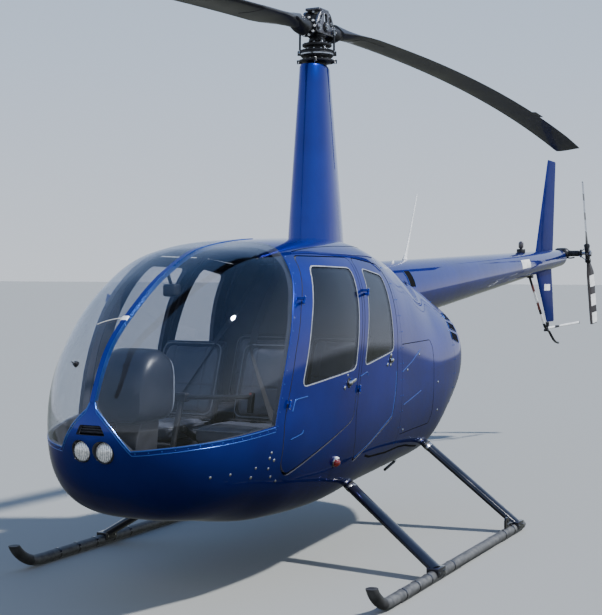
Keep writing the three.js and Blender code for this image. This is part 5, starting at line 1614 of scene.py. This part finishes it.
print("tail rotor radius", TAIL_ROTOR["radius"], "mm")

# %% [markdown]
# ## Guard, skid, beacon, aerial and decals
# A banded tube under the tail guards the rotor and is painted to be seen, and a spring steel skid under it
# takes a tail-low landing. The beacon stands on the cone, a whip aerial on its root, and two blank decals
# are thin sheets laid over the paint.

# %% Guard and tail skid
GUARD_LINE = [(0, 4674, cone_z(4674) - cone_r(4674) + 20), (0, 4990, 1383), (0, 5206, 1188), (0, 5250, 1152),
              (0, 5290, 1131), (10, 5340, 1129), (32, 5400, 1136), (190, 5850, 1176)]
# where a band ends, as a length along the tube, and its colour
GUARD_BANDS = [(150, "head_black"), (245, "guard_red"), (400, "white_enamel"), (520, "guard_red"),
               (590, "head_black"), (720, "white_enamel"), (860, "head_black"), (960, "white_enamel"),
               (1050, "head_black"), (1600, "white_enamel")]
CLAMP_Y = 4716
line = smooth_path(GUARD_LINE, 24)
reach = np.concatenate([[0], np.cumsum(np.linalg.norm(np.diff(line, axis=0), axis=1))])
tube = swept("head_black", line, circle(0, 0, 12, 20), up=(1, 0, 0.01))
coat(cut(tube, cone_solid("guard_bed", 0.4, 4000)), "head_black")
colours = ["head_black", "guard_red", "white_enamel"]
for colour in colours[1:]:
    tube.data.materials.append(FINISH[colour])
for face in tube.data.polygons:
    place = np.array(face.center) * 1000 + [0, AXIS_TO_MIDDLE, 0]
    length = reach[np.argmin(np.linalg.norm(line - place, axis=1))]
    face.material_index = colours.index(next(colour for stop, colour in GUARD_BANDS if length < stop))
clamp_z = cone_z(CLAMP_Y) - cone_r(CLAMP_Y)
block("head_black", -26, 26, CLAMP_Y - 34, CLAMP_Y + 40, clamp_z - 22, clamp_z + 6, 5)
rod("head_black", (0, 5352, 1121), (0, 5352, 1189), 17, 20)
rod("head_black", (188, 5845, 1175.5), (191, 5854, 1176.3), 13, 20)
fitted(from_tray("guard"), "airframe", "guard_paint", "tail_rotor_guard")
SPRING = [(5290, 1112), (5400, 1098), (5480, 1058), (5600, 1000), (5700, 972), (5760, 966)]
swept("strut_black", smooth_path([(0, *at) for at in SPRING]), oblong(13, 7, 5, 3))
block("head_black", -20, 20, 5284, 5332, 1098, 1121, 4)
rod("bare_steel", (0, 5738, 968), (0, 5766, 964), 12, 20)
fitted(from_tray("tail_spring_skid"), "airframe", "strut_paint", "tail_skid")
print("guard tube", round(float(reach[-1])), "mm long")

# %% Beacon and whip aerial
BEACON = {"y": 4416, "top": 1973}
deck = cone_z(BEACON["y"]) + cone_r(BEACON["y"])
base = [(0.5, -14), (40, -14), (40, 28), (37, 33), (15, 35), (14, 44), (0.5, 44)]
dome = [(0.5, 44), (20, 44), (23, 50), (24, 84), (20, 97), (11, 104), (0.5, BEACON["top"] - deck)]
ribs = [[(22.8, z), (25, z + 1), (25, z + 3), (22.8, z + 4)] for z in (54, 64, 74)]
for finish_name, profile in [("head_black", base)] + [("beacon_smoke", profile) for profile in [dome, *ribs]]:
    turned(finish_name, profile, (0, BEACON["y"], deck - 4), sides=36)
beacon = cut(from_tray("beacon_lamp"), cone_solid("beacon_bed", 0.3, 4000))
fitted(beacon, "airframe", "beacon_lens", "beacon")
AERIAL_Y, AERIAL_TIP = 1492, (0, 1730, 2242)
AERIAL_FOOT = [(0.5, -30), (20, -30), (20, 4), (16, 10), (9, 24), (7, 34), (0.5, 34)]
# share of the height, half length and half width
AERIAL = [(0, 31, 9), (0.04, 28, 8.5), (0.12, 20, 7), (0.3, 12, 5.5), (0.65, 8, 4.5), (0.98, 5, 3.5),
          (1, 2.5, 2)]
deck = cone_z(AERIAL_Y) + cone_r(AERIAL_Y)
turned("white_enamel", AERIAL_FOOT, (0, AERIAL_Y, deck), sides=28)
rings = []
for part, wide, thick in AERIAL:
    middle = np.array((0, AERIAL_Y + 6, deck + 2)) * (1 - part) + np.array(AERIAL_TIP) * part
    rings.append([middle + [a, b, 0] for a, b in circle(0, 0, thick, 20, wide)])
lofted("white_enamel", rings)
aerial = cut(from_tray("whip_aerial"), cone_solid("aerial_bed", 0.3))
fitted(aerial, "airframe", "guard_paint", "whip_antenna")
print("beacon top", BEACON["top"], "aerial top", AERIAL_TIP[2], "mm")

# %% Blank decals
# lower fin at its top: front and rear edge, half thickness, and how each changes down its length
FIN_TOP, FIN_CHANGE, FIN_LENGTH = (1800, 4820, 5465, 21), (484, 123, -10), 600


def cone_sheet(name, y0, y1, low, high, lift=0.8):
    """A thin sheet on the cone, from low to high in degrees up from its side."""
    rings = []
    for y in np.linspace(y0, y1, 5):
        ring = []
        for radius, ends in ((cone_r(y) + 0.1, (low, high)), (cone_r(y) + lift, (high, low))):
            for turn in np.radians(np.linspace(*ends, 10)):
                ring.append((radius * math.cos(turn), y, cone_z(y) + radius * math.sin(turn)))
        rings.append(ring)
    return lofted(name, rings)


def fin_sheet(name, y0, y1, z0, z1, lift=0.8):
    """A thin sheet on the left of the lower fin."""
    rings = []
    for y in np.linspace(y0, y1, 7):
        ring = []
        for z, proud in ((z0, 0.1), (z1, 0.1), (z1, lift), (z0, lift)):
            part = (FIN_TOP[0] - z) / FIN_LENGTH
            front, rear, half = (at + change * part for at, change in zip(FIN_TOP[1:], FIN_CHANGE))
            ring.append((wing_half((y - front) / (rear - front), half) + proud, y, z))
        rings.append(ring)
    return lofted(name, rings)


for sheet in (cone_sheet("cone_decal", 4020, 4310, -4, 31), fin_sheet("fin_decal", 5190, 5415, 1504, 1566)):
    fitted(coat(sheet, "white_enamel"), "airframe", "body_paint")
print("decals 2")

# %% [markdown]
# ## Lamps and the air slot in the nose
# Two sealed lamps sit side by side in dark wells. Each is a silver bowl behind a pressed lens, and the lens
# gets a painted sparkle: its colour runs from dark grey to near white over a mix of narrow flutes and small
# cells, because a flat white disc would look like a sticker. The slot above them lets air into the cabin
# and has three slats in front of a black block, painted shade for the dark duct.

# %% Pressed lamp lens
def pressed_lens(name, dark, light):
    material, tree, shader = shaded(name)
    coords = node(tree, "TexCoord").outputs["Object"]
    cells = node(tree, "TexVoronoi", {"Vector": coords, "Scale": 95}).outputs["Distance"]
    flutes = node(tree, "TexWave", {"Vector": coords, "Scale": 32, "Distortion": 0.6}).outputs["Fac"]
    pressed = node(tree, "Math", {0: cells, 1: flutes}, operation="MULTIPLY").outputs[0]
    # painted sparkle: the base colour runs from dark grey to near white along the flutes and cells
    feed(tree, shader, {
        "Base Color": tones(tree, pressed, [(0.02, dark), (0.42, light)]), "Metallic": 0.55,
        "Roughness": 0.16, "Coat Weight": 1, "Normal": relief_of(tree, pressed, 0.5, 0.002),
    })
    return material


FINISH["lamp_lens"] = pressed_lens("lamp_lens", (0.30, 0.31, 0.33), (0.92, 0.92, 0.90))
LENS_R, LENS_Y = 46, -2362
LENS = [(0.2, -9), (18, -8), (34, -4.5), (43, 0), (LENS_R, 4), (LENS_R, 10), (0.2, 10)]
LAMP_RIM = [(LENS_R, 0), (LENS_R + 4, -3), (LAMP["r"] - 1, 3), (LAMP["r"] - 1, 44), (LENS_R, 44)]
for side in (1, -1):
    x, z = side * LAMP["x"], LAMP["z"]
    for finish_name, profile in (("lamp_lens", LENS), ("head_black", LAMP_RIM)):
        turned(finish_name, profile, (x, LENS_Y, z), (0, 1, 0), 48)
    rod("slot_black", (x, LENS_Y + 9, z), (x, LENS_Y + 50, z), LAMP["r"] - 1.5, 40, end_radius=30)
    for u, w in circle(x, z, 50, 4):
        rod("bare_steel", (u, LENS_Y - 3, w), (u, LENS_Y + 4, w), 2.6, 8)
fitted(from_tray("nose_lamps"), "airframe", "lamp_glass", "landing_lights")
print("lamps 2, lens", 2 * LENS_R, "mm")

# %% Air slot
# a black block behind the slot, painted shade for the inside of the duct
prism("slot_black", "xz", rounded([(-86, 896), (86, 896), (62, 955), (-62, 955)], 8), -2350, -2280)
for level in (914, 926, 938):
    half = 76 - (level - 902) * 0.5
    bar("bow_grey", oblong(7, 1.2), (-half, -2361, level), (half, -2361, level), (0, 0.8, -0.6))
fitted(from_tray("nose_air_slot"), "airframe", "body_paint")
print("slats 3")

# %% [markdown]
# ## Hinges, handles and trim on the outside
# The doors hang on small outside hinges whose pins lie on one axis, so that they open without binding. Each
# hinge has a knuckle on the door and one on the frame. Along the panes run riveted retainers, and the skin
# carries pressed stiffeners and screws, all laid on the surface by its formula.

# %% Laying a bead on the surface
BEAD = [(-1, -0.4), (-1, 0.05), (-0.6, 0.75), (0, 1), (0.6, 0.75), (1, 0.05), (1, -0.4)]
BEAD_STEP = 16


def onto_skin(points):
    """Moves points to the nearest place on the fuselage and returns them with the outward directions."""
    p = np.array(points, float)
    for _ in range(6):
        slope = surface_slope(p, 0)
        p = p - ((surface_value(p, 0) - 1) / (slope**2).sum(1))[:, None] * slope
    slope = surface_slope(p, 0)
    return p, slope / np.linalg.norm(slope, axis=1)[:, None]


def bead(name, line, half_width, height):
    at, normal = onto_skin(along_line(line, BEAD_STEP))
    along = np.gradient(at, axis=0)
    along /= np.linalg.norm(along, axis=1)[:, None]
    across = np.cross(normal, along)
    across, up = across * half_width, normal * height
    return lofted(name, [[p + c * a + n * b for a, b in BEAD] for p, c, n in zip(at, across, up)])


def side_line(points, side):
    return [(side * float(skin_x(y, z)[0]), y, z) for y, z in points]


# %% Retainers round the windshield
WINDSHIELD_FOOT = [(14, -2372, 1052), (24, -2371, 1023), (110, -2373, 938), (188, -2340, 832),
                   (305, -2272, 843), (430, -2129, 857), (524, -1920, 872), (590, -1668, 895)]
WINDSHIELD_REAR = [(-1668, 900), (-1650, 975), (-1607, 1120), (-1557, 1250), (-1453, 1470), (-1365, 1600),
                   (-1263, 1736)]
rivets = []
# the retainers and rivets are raised parts, and their lighter blue is a painted highlight
for side in (1, -1):
    foot = [(side * x, y, z) for x, y, z in WINDSHIELD_FOOT]
    bead("blue_highlight", foot, 3.5, 2.6)
    bead("blue_highlight", [(side * (x + 6), y, z - 22) for x, y, z in WINDSHIELD_FOOT], 2.2, 1.2)
    bead("blue", side_line(WINDSHIELD_REAR, side), 4, 2.2)
    at, _ = onto_skin(along_line(foot, 62))
    rivets += zip(*onto_skin([(side * (abs(x) + 3), y, z - 11) for x, y, z in at]))
    rear = side_line([(y + 16, z) for y, z in WINDSHIELD_REAR], side)
    rivets += zip(*onto_skin(along_line(rear, 70)))
domes("blue_highlight", rivets, 3.4, 1.8)
fitted(from_tray("windshield_retainers"), "airframe", "body_paint")
print("rivets", len(rivets))

# %% Stiffeners, seams and screws
# the stiffeners in the lighter blue are raised beads, and their lighter blue is a painted highlight
# finish, half width, height, and the line in side view
LINES = [
    ("blue_highlight", 3.5, 2.4, [(-1528, 962), (-1502, 1018), (-1387, 1026)]),
    ("blue_highlight", 3.0, 2.0, [(-90, 1066), (93, 1117), (258, 1180)]),
    ("blue_highlight", 3.0, 2.0, [(-60, 867), (100, 894), (270, 926)]),
    ("slot_black", 7.0, 1.2, [(-604, 630), (-520, 612), (-214, 599), (4, 605), (160, 596), (300, 574),
                              (475, 552)]),
    ("slot_black", 3.0, 0.9, [(-1143, 1762), (-779, 1794), (-420, 1806), (-110, 1802)]),
    ("blue", 5.0, 5.0, [(-1178, 1750), (-900, 1753), (-500, 1752), (-150, 1744)]),
    ("slot_black", 2.5, 0.8, [(-85, 1230), (480, 1232), (520, 1190), (525, 760), (490, 700), (-60, 690)]),
]
# place along, level and radius of the head
SCREWS = [(-2062, 696, 5), (-1954, 698, 5), (-1812, 667, 6), (-1793, 711, 5), (-1690, 775, 5),
          (-1700, 749, 6), (-1664, 735, 6), (-1697, 697, 5), (-1664, 653, 5), (-1612, 626, 5), (5, 1072, 6),
          (236, 1152, 6), (-292, 1178, 8), (-302, 1121, 7), (608, 955, 6), (638, 771, 6), (-16, 711, 6),
          (-940, 1104, 5)]
# place along each seam of the cowls, and the levels between which its screws stand
SEAMS = {-118: (640, 1780), -74: (640, 1780), 978: (700, 1560), 1022: (700, 1560)}
seam_screws = [(y, z, 4) for y, levels in SEAMS.items() for z in range(*levels, 95)]
# the cowl seam screws take the lighter blue, a painted highlight on their heads
for side in (1, -1):
    for finish_name, half_width, height, line in LINES:
        bead(finish_name, side_line(line, side), half_width, height)
    for rows, finish_name, wider in ((SCREWS, "chrome", 1.5), (seam_screws, "blue_highlight", 1)):
        for size in sorted({r for _, _, r in rows}):
            places = [skin_point(y, z, side) for y, z, r in rows if r == size]
            domes(finish_name, places, size * wider, size * 0.6)
fitted(from_tray("skin_lines_and_screws"), "airframe", "cowl_paint")
print("lines", 2 * len(LINES), "screws", 2 * (len(SCREWS) + len(seam_screws)))

# %% Stiffeners and latches that swing with the doors
# the stiffeners on the doors are raised beads in the lighter blue, a painted highlight
DOOR_LINES = {
    "front": [(3.0, 2.0, [(-1540, 823), (-1432, 843), (-1424, 860)])],
    "rear": [(3.0, 2.0, [(-768, 1086), (-664, 1106), (-659, 1084)]),
             (2.4, 1.4, [(-780, 640), (-590, 697), (-262, 822), (-213, 960), (-196, 1080)])],
}
# place along, level, and length of the lever
LATCHES = {"front": (-922, 1062, 62), "rear": (-296, 1148, 0)}
LATCH_CUP = [(0.3, -1), (27, -1), (27, 1.5), (23, 3), (20, 0.6), (0.3, 0.4)]
LATCH_KNOB = [(0.3, 0), (13, 0), (14, 4), (13, 12), (9, 17), (0.3, 18)]
LOCK = [(0.3, -1), (11, -1), (11, 3), (8, 5), (0.3, 5)]
for label, side in SIDES.items():
    for which, rows in DOOR_LINES.items():
        for half_width, height, line in rows:
            bead("blue_highlight", side_line(line, side), half_width, height)
        y, z, lever_length = LATCHES[which]
        at, normal = skin_point(y, z, side)
        turned("head_black", LATCH_CUP, at, normal)
        if lever_length:
            lever_end = at + normal * 11 + [0, lever_length, 14]
            softened(bar("chrome", oblong(9, 5, 4, 3), at + normal * 9, lever_end, (0, 0, 1)), 2)
        turned("chrome", LATCH_KNOB, at, normal, 28)
        at, normal = skin_point(y - 58, z - 22, side)
        turned("chrome", LOCK, at, normal, 24)
        bar("slot_black", oblong(1.2, 5), at + normal * 4, at + normal * 5.6, (0, 0, 1))
        fitted(from_tray(f"latch_{which}_{label}"), f"{which}_{label}_door", "body_paint")
print("latches", 2 * len(LATCHES))

# %% Hinges
# which door: place along, level and distance out of the upper and the lower pin
HINGES = {"front": ((-1385, 1510, 34), (-1572, 1000, 14)), "rear": ((-645, 1545, 36), (-800, 1020, 10))}
KNUCKLE = {"r": 7, "length": 20, "gap": 0.6, "deep": 12}


def knuckle(end, axis, side, sense, reach):
    middle = end + axis * sense * (KNUCKLE["length"] + KNUCKLE["gap"]) / 2
    half = axis * KNUCKLE["length"] / 2
    softened(rod("blue", middle - half, middle + half, KNUCKLE["r"]), 1.2)
    root_y = middle[1] + reach
    root = (side * (float(skin_x(root_y, middle[2])[0]) - KNUCKLE["deep"]), root_y, middle[2])
    softened(bar("blue", oblong(7, 3), middle, root, axis), 1)
    pin_end = middle + half * sense
    rod("bare_steel", pin_end, pin_end + axis * sense * 3, 5, 12)


for label, side in SIDES.items():
    for which, ends in HINGES.items():
        upper, lower = (np.array((side * (float(skin_x(y, z)[0]) + out), y, z)) for y, z, out in ends)
        axis = (upper - lower) / np.linalg.norm(upper - lower)
        carriers = (("door", -1, 46, f"{which}_{label}_door"), ("frame", 1, -8, "airframe"))
        for carrier, sense, reach, body in carriers:
            for end in (upper, lower):
                knuckle(end, axis, side, sense, reach)
            fitted(from_tray(f"hinge_{which}_{label}_{carrier}"), body, "body_paint")
print("hinges", 4 * len(HINGES))

# %% [markdown]
# ## Small fittings
# The position lights are blown lenses on a painted foot, red on the left and green on the right. The vents
# and slots of the cowls are black sheets on the skin, painted shade where the openings are, each with a lip
# of lighter blue as a painted highlight, and a thermometer probe sticks through the windshield.

# %% Position lights
NAV_LIGHTS = {"left": ("lens_red", "red_lens"), "right": ("lens_green", "green_lens")}
LIGHT_FOOT = [(0.3, -3), (27, -3), (27, 3), (24, 6), (0.3, 6)]
LIGHT_DOME = [(0.3, 5), (22, 5), (22.5, 9), (21, 17), (16, 25), (9, 29.5), (0.3, 31)]
for label, side in SIDES.items():
    lens, slot_name = NAV_LIGHTS[label]
    at, normal = skin_point(-1040, 650, side)
    turned("bare_steel", LIGHT_FOOT, at, normal, 36)
    turned(lens, LIGHT_DOME, at, normal, 36)
    cap_ends = at + normal * 3 + [0, 0, 24], at + normal * 20 + [0, 0, 22]
    softened(bar("white_enamel", oblong(15, 7, 4), *cap_ends, (0, 1, 0)), 2)
    for rise in (8, 12, 16):
        turned(lens, [(22, rise), (23.4, rise + 1), (22, rise + 2)], at, normal, 36)
    fitted(from_tray(f"nav_light_{label}_unit"), "airframe", slot_name, f"nav_light_{label}")
print("position lights", len(NAV_LIGHTS))

# %% Slots of the cowls, blade aerial and vents of the cone
# place along and level of each slot's four corners on the aft cowl
COWL_SLOTS = [
    [(1068, 1388), (1150, 1372), (1176, 1329), (1060, 1347)],
    [(1050, 1330), (1172, 1302), (1183, 1254), (1033, 1287)],
    [(1020, 1265), (1160, 1238), (1163, 1180), (1006, 1215)],
]
BLADE_AERIAL = [(1030, 1690), (1092, 1690), (1080, 1742), (1062, 1752)]
# each slot is a black sheet, painted shade for the opening, ringed by a lighter blue lip, a painted highlight
for side in (1, -1):
    for corners in COWL_SLOTS:
        outline = rounded(corners, 8, 3)
        outer, inner = ([skin_point(y, z, side, lift)[0] for y, z in outline] for lift in (1.6, -3))
        lofted("slot_black", [outer, inner])
        swept("blue_highlight", outer, circle(0, 0, 1.5, 6), up=(1, 0, 0), closed=True)
        vane = [np.add(corners[i], corners[j]) / 2 for i, j in ((0, 3), (1, 2))]
        bead("blue", side_line(vane, side), 1.6, 3)
fitted(from_tray("cowl_slots"), "airframe", "cowl_paint")
aerial = softened(prism("blade_aerial", "yz", rounded(BLADE_AERIAL, 6), 76, 84), 2.5)
fitted(cut(coat(aerial, "white_enamel"), cone_solid("aerial_seat", 0.3)), "airframe", "guard_paint")
# each vent is a black sheet on the cone, painted shade for the opening, between lips of lighter blue, a
# painted highlight
for low, high in ((11, 43), (137, 169)):
    cone_sheet("slot_black", 1046, 1156, low, high, 1.2)
    for start, end in ((1040, 1047), (1155, 1162)):
        cone_sheet("blue_highlight", start, end, low - 2, high + 2, 3)
fitted(from_tray("cone_vents"), "airframe", "body_paint")
print("slots", 2 * len(COWL_SLOTS))

# %% Probe, drain and the yarn's tape
# distance off the glass from and to, radius and finish of the probe's steps
PROBE = [(-4, 4, 15, "head_black"), (4, 12, 11, "head_black"), (12, 32, 5, "bare_steel")]
DRAIN = [(292, 618, 475), (296, 588, 432), (298, 500, 412), (300, 405, 395)]
# across the strip and how far the tape stands off the glass
TAPE = [(-25, 1.0), (-20, 3.4), (-14.5, 4.3), (-12, 4.8), (0, 4.9), (12, 4.8), (14.5, 3.0), (16, 0.8)]
(at,), (normal,) = onto_skin([(-164, -2262, 1214)])
for start, end, radius, finish_name in PROBE:
    rod(finish_name, at + normal * start, at + normal * end, radius)
fitted(from_tray("air_temperature_probe"), "airframe", "tinted_pane")
swept("head_black", smooth_path(DRAIN), circle(0, 0, 9, 14), up=(1, 0, 0))
rod("white_enamel", (295.6, 594, 438), (296.2, 572, 428), 11, 16)
fitted(from_tray("belly_drain_tube"), "airframe", "cowl_paint")
bpy.data.objects["yaw_string_yarn"].data.materials.append(FINISH["yarn_white"])
stand_off = np.array([[lift] for _, lift in TAPE])
rings = []
for z in (1404, 1412, 1424, 1436, 1447, 1454):
    at, normal = onto_skin([(x, -2100, z) for x, _ in TAPE])
    rings.append([*(at + normal * stand_off), *(at + normal * (stand_off - 0.5))[::-1]])
fitted(coat(lofted("strip_tape", rings), "white_enamel"), "airframe", "guard_paint", angle=50)
print("steps of the probe", len(PROBE))

# %% [markdown]
# ## Engine, exhaust and fan
# The flat six lies crosswise under the deck with three finned cylinders a side. It is seen from below and
# from the back, where the fan turns in its pale scroll and blows the cooling air forward over the fins.

# %% Crankcase and cylinders
ENGINE = {"front": -99.6, "rear": 640, "low": 620, "shaft_z": 1010}
CRANKCASE = [(-118, 760), (118, 760), (132, 900), (96, 1060), (-96, 1060), (-132, 900)]
COOLING_FIN = [(50, 0), (70, 0), (70, 2.6), (50, 2.6)]
REAR_BOSS = [(18.6, 0), (100, 0), (96, 22), (62, 30), (60, 88), (18.6, 88)]
# across, place along from the cylinder, and level
EXHAUST_STUB = [(280, -20, 822), (268, -14, 740), (170, 0, 690), (100, 0, 664)]
PLUG_LEAD = [(268, 40, 960), (220, 30, 1030), (110, 10, 1060), (60, 0, 1070)]
TUBES = (("exhaust_pipe", EXHAUST_STUB, circle(0, 0, 19, 14)), ("guard_red", PLUG_LEAD, circle(0, 0, 5, 8)))
case = prism("engine_alloy", "xz", rounded(CRANKCASE, 26), ENGINE["front"] + 0.6, ENGINE["rear"] - 30)
softened(case, 10, 3)
block("engine_alloy", -150, 150, 60, 560, ENGINE["low"] + 2, 765, 22, 3)
block("head_black", -70, 70, 20, 600, 1055, 1086, 6)
for y in (90, 290, 490):
    for side in (1, -1):
        rod("engine_alloy", (side * 110, y, 900), (side * 250, y, 893), 52, 28)
        for k in range(13):
            turned("engine_alloy", COOLING_FIN, (side * (134 + k * 9), y, 899 - k * 0.4), (side, 0, 0), 28)
        block("engine_alloy", *sorted((side * 248, side * 318)), y - 74, y + 74, 822, 968, 12, 3)
        block("head_black", *sorted((side * 300, side * 329)), y - 56, y + 56, 852, 958, 9, 3)
        for finish_name, line, section in TUBES:
            path = smooth_path([(side * u, y + v, w) for u, v, w in line], 6)
            swept(finish_name, path, section, up=(0, 1, 0))
turned("engine_alloy", REAR_BOSS, (0, ENGINE["rear"] - 30, ENGINE["shaft_z"]), (0, 1, 0), 40)
fitted(from_tray("flat_six"), "airframe", "engine_metal", "engine_block")
print("cylinders 6")

# %% Muffler and tail pipe
CAN_AT = (0, 400, ENGINE["low"] - 60.4)
CAN = [(0.4, -260), (38, -260), (54, -252), (60, -238), (60, 238), (54, 252), (38, 260), (0.4, 260)]
level = CAN_AT[2]
turned("exhaust_pipe", CAN, CAN_AT, (1, 0, 0), 44)
for x in (-180, -60, 60, 180):
    turned("bare_steel", [(59, x - 8), (62, x - 8), (62, x + 8), (59, x + 8)], CAN_AT, (1, 0, 0), 44)
pipe_line = smooth_path([(196, 400, level), (202, 425, level - 55), (209, 470, 480), (215, 520, 425)])
swept("exhaust_pipe", pipe_line, circle(0, 0, 26, 24), up=(1, 0, 0))
# a black disc in the pipe's mouth, painted shade for its hollow inside
rod("slot_black", (215, 519, 426), (215.4, 521.5, 423), 21, 20)
block("bare_steel", -40, 40, 372, 428, level + 50, ENGINE["low"] - 0.4)
fitted(from_tray("muffler_and_pipe"), "airframe", "exhaust_steel", "exhaust_muffler")
print("muffler bands 4")

# %% Fan in its scroll
axis_z, front, back = FAN["hub_z"], FAN["front"], FAN["back"]
FAN_HUB = [(17, front), (66, front), (70, front + 5), (70, back - 14), (58, back - 3), (24, back), (17, back)]
SCROLL = [(222, 1075), (250, 1060), (256, 1075), (252, 1215), (240, 1240), (226, 1250), (222, 1240)]
# the vane's section, along and across, as shares of its half width and thickness
VANE = [(-1, 0), (-0.5, 1), (0, 1.25), (0.6, 0.8), (1, 0), (0.6, -0.5), (0, -0.7), (-0.5, -0.6)]
rod("bare_steel", (0, ENGINE["rear"] + 0.6, axis_z), (0, back, axis_z), 18)
turned("engine_alloy", FAN_HUB, (0, 0, axis_z), (0, 1, 0), 44)
for c, s in circle(0, 0, 1, 9, first=0):
    rings = []
    for part in np.linspace(0, 1, 7):
        radius, twist = 62 + (FAN["r"] - 62) * part, 0.62 - 0.34 * part
        ring = []
        for a, b in VANE:
            along, across = a * (34 - 3 * part), b * (3.4 - 1.4 * part)
            y = (front + back) / 2 + along * math.cos(twist) - across * math.sin(twist)
            tangent = along * math.sin(twist) + across * math.cos(twist)
            ring.append((radius * c - tangent * s, y, axis_z + radius * s + tangent * c))
        rings.append(ring)
    lofted("engine_alloy", rings)
for x, z in circle(0, axis_z, 40, 6, first=0):
    rod("bare_steel", (x, back - 8, z), (x, back + 4, z), 6, 6)
fitted(from_tray("fan_wheel"), "fan", "engine_metal", "cooling_fan")
turned("scroll_grey", SCROLL, (0, 0, axis_z + 5), (0, 1, 0), 64)
for c, s in circle(0, 0, 1, 3):
    ends = (60 * c, 706, axis_z + 60 * s), (238 * c, 1070, axis_z + 238 * s)
    bar("head_black", oblong(14, 4, 3), *ends, (0, 0, 1))
fitted(from_tray("fan_scroll"), "airframe", "engine_metal")
print("fan vanes 9")


# %% Finish
low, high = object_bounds()
print("visual box", [round(v, 3) for v in low], [round(v, 3) for v in high])
